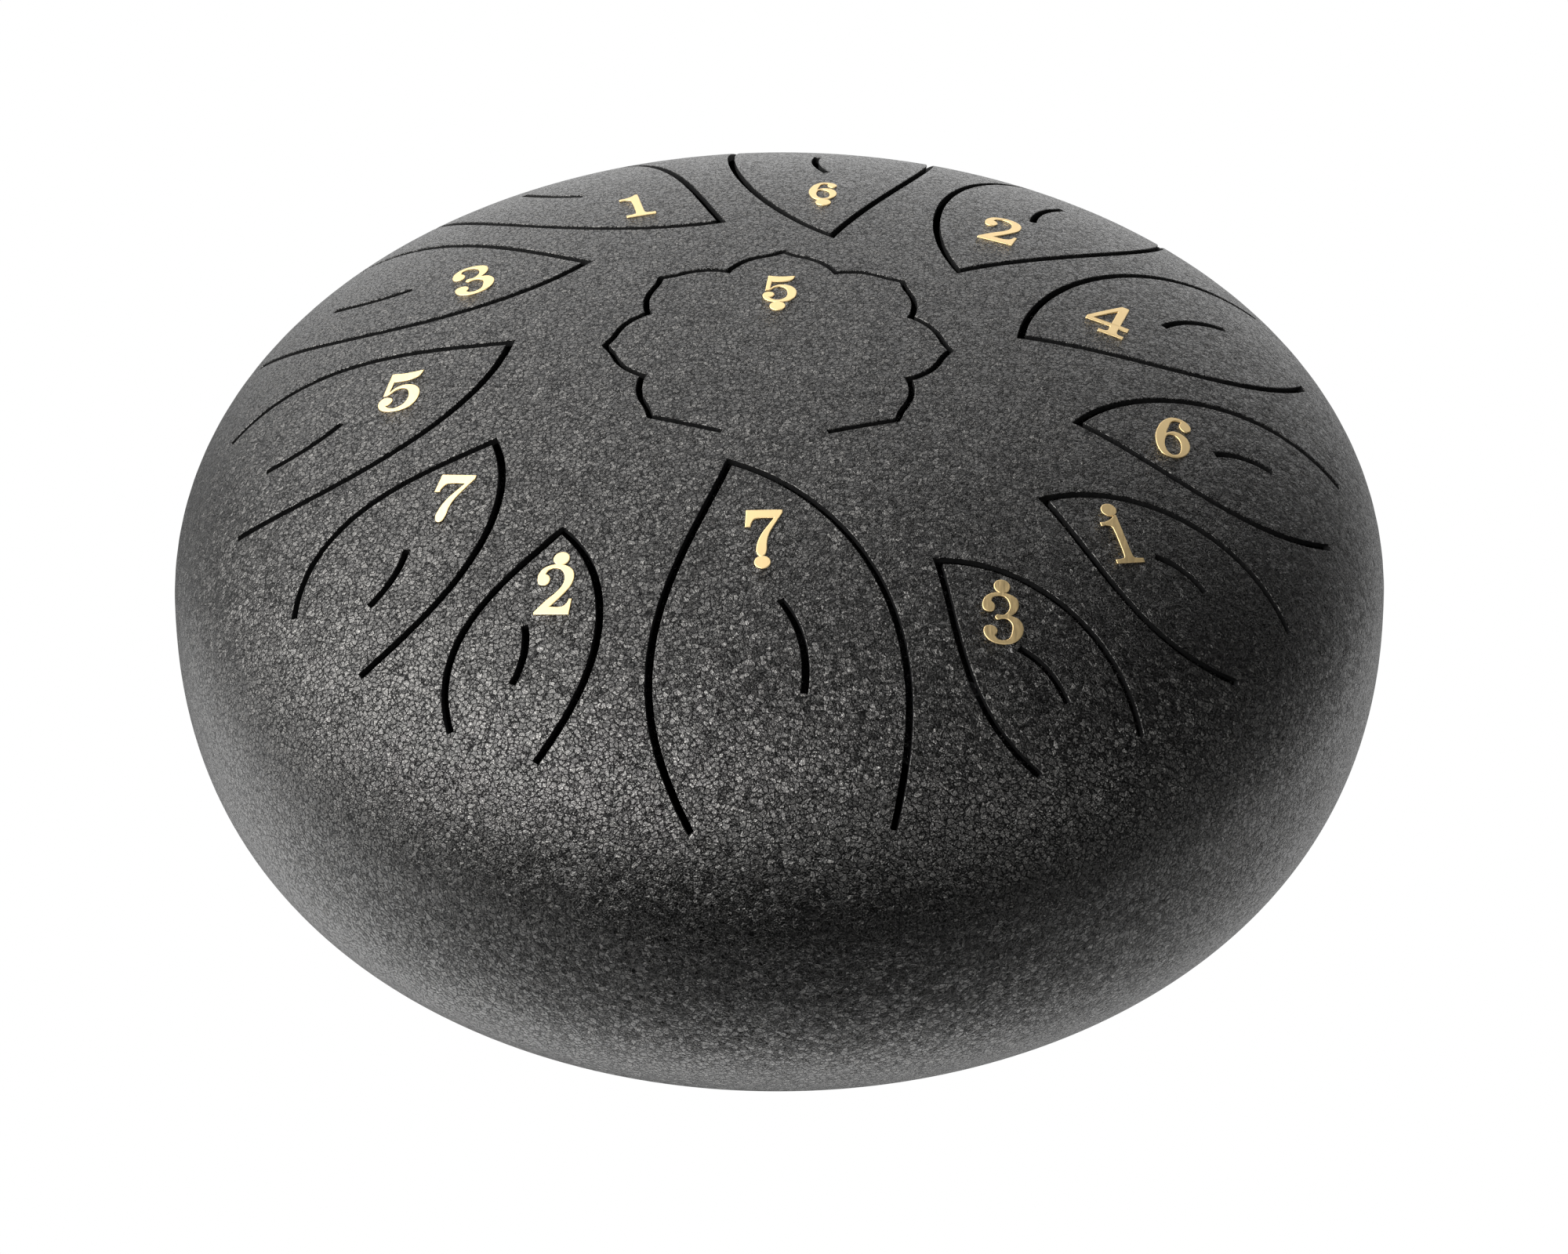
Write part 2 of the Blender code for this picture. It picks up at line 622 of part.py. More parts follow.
def build_nut(name, centre):
    """A hexagon nut over a washer, with a plain bore."""
    low_z = NUT_BED_Z + WASHER_T + GAP
    bore = circle(Vector(centre), NUT_BORE_R, 12)
    wide = NUT_AF / 2
    hexagon = []
    for i in range(12):
        a = 2 * math.pi * i / 12
        reach = wide / math.cos(math.radians(30)) if i % 2 else wide
        hexagon.append(Vector(centre) + Vector((math.cos(a), math.sin(a))) * reach)
    bm = bmesh.new()
    rings = []
    for loop, z in ((bore, low_z), (hexagon, low_z), (hexagon, low_z + NUT_T), (bore, low_z + NUT_T)):
        rings.append([bm.verts.new((p.x, p.y, z)) for p in loop])
    for low, high in zip(rings, rings[1:] + rings[:1]):
        for i in range(12):
            j = (i + 1) % 12
            bm.faces.new((low[i], low[j], high[j], high[i]))
    finish_mesh(name, bm, STEEL)


for k, centre in enumerate(foot_centres):
    number = str(k + 1)
    bm = bmesh.new()
    revolve(bm, foot_section, 20, centre, lift=foot_lift)
    finish_mesh("foot_" + number, bm, RUBBER)
    bm = bmesh.new()
    revolve(bm, screw_section, 16, centre)
    finish_mesh("foot_screw_" + number, bm, STEEL)
    bm = bmesh.new()
    revolve(bm, washer_section, 18, centre, NUT_BED_Z)
    finish_mesh("foot_washer_" + number, bm, STEEL)
    build_nut("foot_nut_" + number, centre)
    cutter = cutter_from(circle(Vector(centre), SHELL_HOLE_R, 16), 0.0, 30 * MM)
    boolean(base, cutter, "DIFFERENCE")
    bpy.data.objects.remove(cutter)
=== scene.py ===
"""Thirteen-note steel tongue drum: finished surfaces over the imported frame."""
import math

import bmesh
import bpy
import numpy as np
from mathutils import Matrix, Vector, geometry


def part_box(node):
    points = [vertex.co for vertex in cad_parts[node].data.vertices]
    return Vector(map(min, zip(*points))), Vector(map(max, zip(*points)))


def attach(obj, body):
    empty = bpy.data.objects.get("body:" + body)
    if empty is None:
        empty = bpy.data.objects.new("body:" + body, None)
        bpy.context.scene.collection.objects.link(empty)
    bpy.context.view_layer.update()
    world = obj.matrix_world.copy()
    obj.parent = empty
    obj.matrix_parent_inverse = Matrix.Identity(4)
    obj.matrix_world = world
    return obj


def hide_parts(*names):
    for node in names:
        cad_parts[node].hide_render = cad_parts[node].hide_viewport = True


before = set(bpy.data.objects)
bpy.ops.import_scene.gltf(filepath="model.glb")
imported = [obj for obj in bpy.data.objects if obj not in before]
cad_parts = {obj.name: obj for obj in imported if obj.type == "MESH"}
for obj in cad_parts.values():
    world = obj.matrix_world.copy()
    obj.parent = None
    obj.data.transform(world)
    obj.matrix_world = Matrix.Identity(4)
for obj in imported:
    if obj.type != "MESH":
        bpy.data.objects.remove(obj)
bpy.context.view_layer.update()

MM = 0.001
WALL = 1.8 * MM
SLOT_W = 1.8 * MM
LOTUS_SLOT_W = 1.45 * MM
EDGE_R = 0.22 * MM
ROOT_GAP = 0.03 * MM
OUTLINE_STEP = 0.7 * MM
GRID_STEP = 3.4 * MM
SOUND_HOLE_R = 42.5 * MM
DOT_R = 2.0 * MM
DOT_REACH = 1.80 * MM

weld_low, weld_high = (np.array(p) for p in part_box("seam_weld"))
RADIUS = float(weld_high[0])
EQUATOR_Z = float(weld_low[2] + weld_high[2]) / 2
CROWN_RISE = 0.497 * RADIUS
BASE_DROP = 0.508 * RADIUS

# Radii are parts of RADIUS; azimuths are degrees clockwise from the back, seen from above.
# name, tip radius, tip azimuth, root radius, azimuth of the two slot ends, fullness of the round
# side and of the waved side
LEAVES = (
    ("low_6", 0.351, 13.7, 0.923, 356.5, 13.6, 0.90, 0.90),
    ("mid_2", 0.382, 50.1, 0.913, 33.0, 44.0, 0.99, 1.02),
    ("mid_4", 0.399, 81.6, 0.888, 63.4, 77.3, 0.94, 1.11),
    ("mid_6", 0.509, 107.8, 0.918, 92.8, 103.1, 0.85, 1.12),
    ("high_1", 0.555, 129.5, 0.926, 117.5, 127.3, 0.90, 1.10),
    ("high_3", 0.575, 153.0, 0.918, 140.8, 152.6, 0.98, 1.04),
    ("low_7", 0.321, 192.6, 0.939, 167.9, 187.1, 0.99, 1.00),
    ("high_2", 0.555, 216.6, 0.897, 203.6, 213.5, 1.05, 1.02),
    ("mid_7", 0.501, 243.7, 0.890, 226.4, 238.6, 1.07, 0.98),
    ("mid_5", 0.438, 275.2, 0.900, 254.8, 271.9, 1.14, 0.80),
    ("mid_3", 0.421, 310.3, 0.912, 287.2, 304.5, 1.15, 0.62),
    ("mid_1", 0.406, 345.4, 0.915, 317.5, 334.5, 1.00, 0.95),
)

# Vein slot of each leaf: inner end, outer end (x to the right, y to the back, parts of RADIUS), bulge.
VEINS = {
    "low_6": (0.070, 0.618, 0.053, 0.730, 0.10),
    "mid_2": (0.418, 0.475, 0.470, 0.583, 0.10),
    "mid_4": (0.631, 0.179, 0.736, 0.247, 0.10),
    "mid_6": (0.707, -0.146, 0.802, -0.129, 0.10),
    "high_1": (0.605, -0.418, 0.684, -0.450, 0.10),
    "high_3": (0.389, -0.649, 0.464, -0.712, 0.10),
    "low_7": (0.016, -0.605, 0.056, -0.763, 0.10),
    "high_2": (-0.383, -0.618, -0.399, -0.709, 0.10),
    "mid_7": (-0.579, -0.426, -0.635, -0.509, 0.10),
    "mid_5": (-0.706, -0.085, -0.828, -0.124, 0.10),
    "mid_3": (-0.614, 0.283, -0.747, 0.313, 0.10),
    "mid_1": (-0.342, 0.555, -0.445, 0.645, 0.10),
}

# Half a petal of the centre note: degrees from the petal's axis, radius as a part of RADIUS.
PETAL = ((0.0, 0.280), (2.0, 0.2745), (4.0, 0.2695), (7.0, 0.2655), (11.0, 0.2605), (15.0, 0.2530),
         (18.5, 0.2440), (21.0, 0.2370), (22.5, 0.2315))
LOTUS_TURN = 0.7
LOTUS_END = (0.085, -0.238)

# Note numbers: digit, centre x and y in millimetres, lean clockwise in degrees, digit height in
# millimetres, dot side (+1 above, -1 below, 0 none), dot shift sideways in millimetres
NUMBERS = {
    "low_5": ("5", 0.0, 23.9, 0.0, 12.5, -1, -0.4),
    "low_6": ("6", 9.9, 79.3, 1.0, 12.3, -1, 0.3),
    "low_7": ("7", -1.8, -72.3, -2.0, 15.2, -1, -0.5),
    "mid_1": ("1", -37.7, 72.8, -11.0, 15.0, 0, 0.0),
    "mid_2": ("2", 55.4, 63.4, 14.0, 15.6, 0, 0.0),
    "mid_3": ("3", -77.7, 40.1, -6.0, 15.6, 0, 0.0),
    "mid_4": ("4", 82.6, 24.4, 15.0, 15.6, 0, 0.0),
    "mid_5": ("5", -93.1, -6.9, 7.0, 15.6, 0, 0.0),
    "mid_6": ("6", 97.4, -21.0, 4.0, 15.6, 0, 0.0),
    "mid_7": ("7", -78.4, -51.7, 14.0, 15.6, 0, 0.0),
    "high_1": ("1", 83.9, -61.4, -19.0, 14.6, 1, 0.0),
    "high_2": ("2", -51.5, -85.7, 7.0, 14.8, 1, 0.3),
    "high_3": ("3", 55.4, -92.0, 0.0, 14.8, 1, -0.2),
}

# Digit outlines, 100 high, standing on 0 and centred across; a third value of 1 is a sharp corner,
# and a second loop is a hole.
DIGITS = {
    "1": (((-25, 87), (-25, 79, 1), (-15, 80), (-8, 77), (-6, 70), (-6, 16), (-9, 10), (-24, 8, 1),
           (-24, 0, 1), (27, 0, 1), (27, 8, 1), (12, 10), (9, 16), (9, 100, 1), (4, 100, 1), (-3, 93),
           (-14, 88), (-24, 87)),),
    "2": (((-31, 67), (-31, 80), (-23, 93), (-6, 100), (12, 98), (25, 88), (29, 73), (26, 57), (14, 37),
           (-3, 15, 1), (15, 15), (23, 20), (27, 31, 1), (32, 31, 1), (31, 0, 1), (-28, 0, 1),
           (-28, 5, 1), (-11, 27), (6, 47), (13, 63), (12, 78), (5, 89), (-6, 92), (-15, 88),
           (-19, 80, 1), (-13, 76), (-10, 67), (-14, 59), (-22, 57), (-28, 60)),),
    "3": (((-30, 87), (-20, 96), (-4, 100), (13, 97), (24, 89), (26, 77), (22, 65), (14, 56, 1),
           (25, 52), (32, 43), (34, 32), (29, 16), (15, 4), (-4, 0), (-20, 4), (-29, 13), (-32, 23),
           (-29, 31), (-20, 34), (-12, 31), (-9, 23), (-13, 15, 1), (-8, 9), (2, 8), (11, 14),
           (15, 26), (15, 40), (8, 48), (0, 49), (-9, 46), (-13, 51), (-9, 56), (0, 56), (7, 62),
           (11, 73), (8, 86), (2, 92), (-8, 93), (-16, 89), (-19, 81, 1), (-14, 76), (-13, 69),
           (-16, 62), (-24, 60), (-31, 63), (-34, 70), (-33, 79)),),
    "4": (((8, 100, 1), (20, 100), (21, 98), (21, 37, 1), (36, 37, 1), (36, 26, 1), (21, 26, 1),
           (21, 13), (24, 8), (34, 7, 1), (34, 0, 1), (-9, 0, 1), (-9, 7, 1), (2, 8), (6, 13),
           (6, 26, 1), (-36, 26, 1), (-36, 36, 1)),
          ((6, 36, 1), (6, 80, 1), (-24, 36, 1))),
    "5": (((-24, 100, 1), (0, 97), (30, 100, 1), (26, 87), (17, 80), (5, 77), (-16, 77, 1),
           (-19, 51, 1), (-12, 60), (2, 66), (20, 62), (31, 50), (34, 34), (30, 17), (19, 5), (0, 0),
           (-18, 3), (-30, 12), (-34, 25), (-30, 35), (-22, 38), (-13, 35), (-10, 27), (-14, 20),
           (-20, 17, 1), (-14, 11), (-3, 8), (9, 14), (15, 26), (15, 41), (10, 53), (1, 58),
           (-9, 55), (-17, 47), (-21, 44, 1), (-29, 43, 1)),),
    "6": (((5, 100), (-9, 95), (-21, 79), (-28, 56), (-29, 37), (-24, 16), (-15, 3), (1, 0), (16, 6),
           (26, 20), (29, 37), (24, 54), (14, 62), (2, 64), (-5, 61), (-12, 55, 1), (-9, 70),
           (-5, 85), (2, 92), (11, 93, 1), (8, 84), (11, 76), (19, 71), (26, 75), (28, 83), (24, 92),
           (16, 98)),
          ((0, 55), (9, 49), (14, 33), (12, 14), (2, 6), (-8, 12), (-13, 28), (-12, 43), (-8, 52))),
    "7": (((-28, 100, 1), (30, 100, 1), (30, 93, 1), (17, 67), (9, 49), (5, 32), (4, 12), (1, 3),
           (-4, 0), (-10, 3), (-13, 13), (-10, 32), (-3, 50), (7, 67), (16, 82, 1), (-5, 82),
           (-14, 80), (-19, 72), (-21, 63, 1), (-30, 63, 1)),),
}


# ---- bowl profiles ----
def bezier(points, count):
    t = np.linspace(0.0, 1.0, count + 1)[:, None]
    p = [np.array(q, float) for q in points]
    return p[0] * (1 - t) ** 3 + 3 * p[1] * (1 - t) ** 2 * t + 3 * p[2] * (1 - t) * t * t + p[3] * t ** 3


def length_along(line):
    return np.concatenate([[0.0], np.cumsum(np.linalg.norm(np.diff(line, axis=0), axis=1))])


def profile(knots, rise):
    """Outer half profile from the pole out: radius, height, length, and both slopes by length."""
    line = bezier([(a * RADIUS, b * rise) for a, b in knots], 4000)
    line[:, 0] = np.minimum(line[:, 0], RADIUS)
    length = length_along(line)
    keep = np.concatenate([[True], np.diff(length) > 1e-9])
    line, length = line[keep], length[keep]
    return line[:, 0], line[:, 1] + EQUATOR_Z, length, np.gradient(line[:, 0], length), \
        np.gradient(line[:, 1], length)


CROWN_R, CROWN_Z, CROWN_S, CROWN_DR, CROWN_DZ = profile(((0, 1), (1.040, 1), (1, 0.141), (1, 0)), CROWN_RISE)
BASE_R, BASE_Z, BASE_S, BASE_DR, BASE_DZ = profile(((0, 1), (0.546, 1), (1, 1.012), (1, 0)), -BASE_DROP)
CROWN_DR[-1], CROWN_DZ[-1] = 0.0, -1.0
FLAT_LIMIT = int(np.argmax(CROWN_R > 0.985 * RADIUS))


def crown_at(flat):
    """Points and outward normals on the crown for unrolled points (length from the pole)."""
    flat = np.asarray(flat, float)
    s = np.linalg.norm(flat, axis=1)
    unit = flat / np.maximum(s, 1e-9)[:, None]
    r = np.interp(s, CROWN_S, CROWN_R)
    z = np.interp(s, CROWN_S, CROWN_Z)
    dr = np.interp(s, CROWN_S, CROWN_DR)
    dz = np.interp(s, CROWN_S, CROWN_DZ)
    normal = np.column_stack([-dz[:, None] * unit, dr])
    normal /= np.linalg.norm(normal, axis=1)[:, None]
    return np.column_stack([unit * r[:, None], z]), normal


def unroll(plan):
    """Unrolled points for points given in plan."""
    plan = np.asarray(plan, float)
    r = np.linalg.norm(plan, axis=1)
    s = np.interp(r, CROWN_R[:FLAT_LIMIT], CROWN_S[:FLAT_LIMIT])
    return plan / np.maximum(r, 1e-9)[:, None] * s[:, None]


# ---- slot outlines ----
def polar(r, azimuth):
    a = np.radians(azimuth)
    return np.array([math.sin(a), math.cos(a)]) * r * RADIUS


def left_of(v):
    return np.stack([-v[..., 1], v[..., 0]], axis=-1)


def unit(v):
    return v / np.maximum(np.linalg.norm(v, axis=-1, keepdims=True), 1e-12)


def even(line, step):
    """The same open line in equal steps near the given one."""
    length = length_along(line)
    count = max(2, int(round(length[-1] / step)))
    want = np.linspace(0.0, length[-1], count + 1)
    return np.column_stack([np.interp(want, length, line[:, k]) for k in (0, 1)])


def leaf_centre_line(leaf):
    _, tip_r, tip_az, root_r, az_a, az_b, full_a, full_b = leaf
    tip, end_a, end_b = polar(tip_r, tip_az), polar(root_r, az_a), polar(root_r, az_b)
    axis = (end_a + end_b) / 2 - tip
    side = left_of(axis)

    def at(u, v):
        return tip + axis * u + side * v

    round_side = bezier((tip, at(0.21, 0.32 * full_a), at(0.70, 0.44 * full_a), end_a), 160)
    waved_side = bezier((tip, at(0.30, -0.15 * full_b), at(0.63, -0.44 * full_b), end_b), 160)
    return even(unroll(round_side[::-1]), OUTLINE_STEP), even(unroll(waved_side), OUTLINE_STEP)


def hermite(xs, ys, want):
    """Smooth line through (xs, ys), read at want."""
    xs, ys = np.array(xs), np.array(ys)
    slope = np.gradient(ys, xs)
    k = np.clip(np.searchsorted(xs, want) - 1, 0, len(xs) - 2)
    h = xs[k + 1] - xs[k]
    t = (want - xs[k]) / h
    return (2 * t ** 3 - 3 * t * t + 1) * ys[k] + (t ** 3 - 2 * t * t + t) * h * slope[k] + \
        (3 * t * t - 2 * t ** 3) * ys[k + 1] + (t ** 3 - t * t) * h * slope[k + 1]


def lotus_sides():
    """Centre line of the centre note's slot as runs between its corners, right end first."""
    angles = np.linspace(0.0, 22.5, 60)
    radii = hermite([p[0] for p in PETAL], [p[1] for p in PETAL], angles)
    runs = []
    start = np.array(LOTUS_END) * RADIUS
    for petal in range(3, -4, -1):
        middle = petal * 45 + LOTUS_TURN
        if petal < 3:
            runs.append(np.array([polar(r, middle + a) for a, r in zip(angles[::-1], radii[::-1])]))
        else:
            runs.append(np.array([start, polar(radii[0], middle)]))
        if petal > -3:
            runs.append(np.array([polar(r, middle - a) for a, r in zip(angles, radii)]))
        else:
            runs.append(np.array([polar(radii[0], middle), start * (-1, 1)]))
    return [even(unroll(even(run, 0.4 * MM)), OUTLINE_STEP) for run in runs]


def join_runs(runs):
    line = [runs[0]]
    for run in runs[1:]:
        line.append(run[1:])
    return np.concatenate(line)


def offset(line, distance, closed=False):
    """Move a line to its left, with mitred corners."""
    line = np.asarray(line, float)
    ahead = np.roll(line, -1, axis=0) - line
    side = left_of(unit(ahead))
    before = np.roll(side, 1, axis=0)
    after = side.copy()
    if not closed:
        before[0] = side[0]
        after[-1] = side[-2]
    joint = unit(before + after)
    reach = np.maximum((joint * before).sum(axis=1), 0.35)
    return line + joint * (distance / reach)[:, None]


def side_line(line, distance):
    """Offset an open line and drop the points that fall back over it at tight corners."""
    moved = offset(line, distance)
    a, d = line[:-1], np.diff(line, axis=0)
    t = ((moved[:, None, :] - a) * d).sum(axis=2) / (d * d).sum(axis=1)
    gap = np.linalg.norm(moved[:, None, :] - (a + np.clip(t, 0.0, 1.0)[:, :, None] * d), axis=2).min(axis=1)
    keep = gap > abs(distance) * 0.96
    keep[[0, -1]] = True
    moved = moved[keep]
    ahead = unit(np.diff(moved, axis=0))
    fixed = np.concatenate([[True], (ahead[1:] * ahead[:-1]).sum(axis=1) < 0.9, [True]])
    near = np.linalg.norm(moved[:, None, :] - moved[None, fixed, :], axis=2).min(axis=1) < 0.5 * OUTLINE_STEP
    return moved[fixed | ~near]


def roughen(line, amount, seed):
    """Fine steps along a burnt edge."""
    rng = np.random.default_rng(seed)
    noise = rng.normal(0.0, amount, len(line))
    return line + unit(np.gradient(line, axis=0))[:, ::-1] * np.array([1.0, -1.0]) * noise[:, None]


class Slot:
    """A cut round a note: edge loop of the cut, and the same loop moved out over the metal."""

    def __init__(self, centre_line, width, seed):
        note_side = side_line(centre_line, width / 2)
        bowl_side = side_line(centre_line, -width / 2)
        note_side[1:-1] = roughen(note_side, 0.018 * MM, seed)[1:-1]
        bowl_side[1:-1] = roughen(bowl_side, 0.018 * MM, seed + 1)[1:-1]
        n = len(bowl_side)
        last = n + len(note_side) - 1
        self.cut = np.concatenate([bowl_side, note_side[::-1]])
        self.rim = offset(self.cut, -EDGE_R, closed=True)
        root_count = max(8, int(np.linalg.norm(note_side[0] - note_side[-1]) / (1.2 * MM)))
        share = np.linspace(0.0, 1.0, root_count + 1)[1:-1, None]
        root_cut = self.cut[n] * (1 - share) + self.cut[last] * share
        root_rim = self.rim[n] * (1 - share) + self.rim[last] * share
        note_order = list(range(last, n - 1, -1))
        bowl_order = list(range(0, n + 1))
        inward = left_of(unit((self.cut[last] - self.cut[n])[None]))[0]
        if inward @ (self.cut.mean(axis=0) - self.cut[n]) < 0:
            inward = -inward
        inward = inward * ROOT_GAP
        self.note_rim = np.concatenate([self.rim[note_order], root_rim + inward])
        self.note_cut = np.concatenate([self.cut[note_order], root_cut + inward])
        for corner in (0, len(note_order) - 1):
            self.note_rim[corner] += inward
            self.note_cut[corner] += inward
        self.bowl_rim = np.concatenate([self.rim[bowl_order], root_rim, self.rim[[last]]])
        self.bowl_cut = np.concatenate([self.cut[bowl_order], root_cut, self.cut[[last]]])


def vein_loops(vein, round_side):
    x0, y0, x1, y1, bulge = vein
    start, end = np.array([x0, y0]) * RADIUS, np.array([x1, y1]) * RADIUS
    side = left_of(end - start)
    if side @ round_side < 0:
        side = -side
    t = np.linspace(0.0, 1.0, 40)[:, None]
    line = even(unroll(start * (1 - t) + end * t + side * bulge * 4 * t * (1 - t)), OUTLINE_STEP)
    cut = np.concatenate([offset(line, -SLOT_W / 2), offset(line, SLOT_W / 2)[::-1]])
    return offset(cut, -EDGE_R, closed=True), cut


# ---- sheet pieces with thickness ----
def area_of(loop):
    x, y = loop[:, 0], loop[:, 1]
    return 0.5 * np.sum(x * np.roll(y, -1) - np.roll(x, -1) * y)


def inside(points, loop):
    """Which points lie in the loop, by the even-odd rule."""
    result = np.zeros(len(points), bool)
    low, high = loop.min(axis=0), loop.max(axis=0)
    near = np.flatnonzero(((points > low) & (points < high)).all(axis=1))
    if not len(near):
        return result
    x0, y0 = loop[:, 0], loop[:, 1]
    x1, y1 = np.roll(x0, -1), np.roll(y0, -1)
    slope = (x1 - x0) / np.where(np.abs(y1 - y0) < 1e-15, 1e-15, y1 - y0)
    for chunk in np.array_split(near, max(1, len(near) // 2000)):
        px, py = points[chunk, 0][:, None], points[chunk, 1][:, None]
        hit = ((y0 > py) != (y1 > py)) & (px < slope * (py - y0) + x0)
        result[chunk] = hit.sum(axis=1) % 2 == 1
    return result


def far_from(points, targets, distance):
    keep = np.ones(len(points), bool)
    for chunk in np.array_split(np.arange(len(points)), max(1, len(points) // 400)):
        if len(chunk):
            gap = points[chunk][:, None, :] - targets[None, :, :]
            keep[chunk] = ((gap ** 2).sum(axis=2).min(axis=1)) > distance ** 2
    return keep


def grid_points():
    top = CROWN_S[-1]
    rings = int(top / GRID_STEP)
    points = [np.zeros((1, 2))]
    for k in range(1, rings):
        s = top * k / rings
        count = max(6, int(round(2 * math.pi * s / GRID_STEP)))
        angle = 2 * math.pi * (np.arange(count) + 0.5 * (k % 2)) / count
        points.append(np.column_stack([np.cos(angle), np.sin(angle)]) * s)
    return np.concatenate(points)


GRID = grid_points()


def sheet_piece(name, outer, holes, equator=False):
    """A curved sheet from unrolled loops. Each loop is a pair: rim on the face, edge of the cut."""
    loops = []
    for k, (rim, cut) in enumerate([outer] + holes):
        flip = (area_of(rim) < 0) if k == 0 else (area_of(rim) > 0)
        loops.append((rim[::-1], cut[::-1]) if flip else (rim, cut))
    rims = np.concatenate([rim for rim, _ in loops])
    cuts = np.concatenate([cut for _, cut in loops])
    free = GRID[inside(GRID, loops[0][0])]
    for rim, _ in loops[1:]:
        free = free[~inside(free, rim)]
    free = free[far_from(free, rims, 1.3 * MM)]
    flat = np.concatenate([rims, free])
    edges = []
    start = 0
    for rim, _ in loops:
        count = len(rim)
        edges += [(start + i, start + (i + 1) % count) for i in range(count)]
        start += count
    scaled = [Vector((float(x), float(y))) for x, y in flat * 1000]
    made, _, faces, origin, _, _ = geometry.delaunay_2d_cdt(scaled, edges, [], 0, 1e-7, True)
    stray = [v for v, ids in enumerate(origin) if not ids]
    if stray:
        raise ValueError("%s: outlines cross near %s" % (name, [tuple(made[v]) for v in stray[:6]]))
    index = [ids[0] for ids in origin]
    faces = np.array([[index[v] for v in face] for face in faces])
    middle = flat[faces].mean(axis=1)
    keep = inside(middle, loops[0][0])
    for rim, _ in loops[1:]:
        keep &= ~inside(middle, rim)
    faces = faces[keep]
    corner = flat[faces]
    turn = np.cross(corner[:, 1] - corner[:, 0], corner[:, 2] - corner[:, 0])
    faces[turn < 0] = faces[turn < 0][:, ::-1]

    count, edge_count = len(flat), len(rims)
    top, top_normal = crown_at(flat)
    under_flat = flat.copy()
    under_flat[:edge_count] = cuts
    under, under_normal = crown_at(under_flat)
    cut_top = under[:edge_count]
    wall = unit(cut_top - top[:edge_count])
    mid_flat = rims + 0.707 * (cuts - rims)
    mid, mid_normal = crown_at(mid_flat)
    mid = mid - mid_normal * 0.293 * EDGE_R
    shoulder = cut_top - under_normal[:edge_count] * EDGE_R
    under = under - under_normal * WALL
    if equator:
        outer_count = len(loops[0][0])
        wall[:outer_count] = (0.0, 0.0, -1.0)
        mid[:outer_count] = top[:outer_count] - top_normal[:outer_count] * 0.3 * EDGE_R
        shoulder[:outer_count] = top[:outer_count] - top_normal[:outer_count] * EDGE_R
    verts = np.concatenate([top, mid, shoulder, under])
    row = (0, count, count + edge_count, count + 2 * edge_count)
    polys = [tuple(f) for f in faces]
    normals = [top_normal[faces].reshape(-1, 3)]
    low_faces = faces[:, ::-1] + row[3]
    polys += [tuple(f) for f in low_faces]
    normals.append(-under_normal[faces[:, ::-1]].reshape(-1, 3))
    half = unit(top_normal[:edge_count] + wall)
    face_normal = top_normal[:edge_count].copy()
    if equator:
        half[:outer_count] = wall[:outer_count]
        face_normal[:outer_count] = wall[:outer_count]
    sides = (face_normal, half, wall, wall)
    nexts = []
    start = 0
    for rim, _ in loops:
        nexts += [start + (i + 1) % len(rim) for i in range(len(rim))]
        start += len(rim)
    i = np.arange(edge_count)
    j = np.array(nexts)
    for level in range(3):
        a, b = row[level], row[level + 1]
        polys += list(zip(i + a, i + b, j + b, j + a))
        upper, lower = sides[level], sides[level + 1]
        normals.append(np.stack([upper[i], lower[i], lower[j], upper[j]], axis=1).reshape(-1, 3))
    mesh = bpy.data.meshes.new(name)
    mesh.from_pydata(verts.tolist(), [], [tuple(int(v) for v in p) for p in polys])
    mesh.polygons.foreach_set("use_smooth", np.ones(len(polys), bool))
    # Slot walls take the near-black cut finish: the cut's oxide, darkened further as painted shade.
    burnt = np.zeros(len(polys), np.int32)
    burnt[-edge_count:] = 1
    mesh.materials.append(COAT)
    mesh.materials.append(CUT)
    mesh.polygons.foreach_set("material_index", burnt)
    mesh.normals_split_custom_set([tuple(n) for n in np.concatenate(normals).tolist()])
    obj = bpy.data.objects.new(name, mesh)
    bpy.context.scene.collection.objects.link(obj)
    return obj


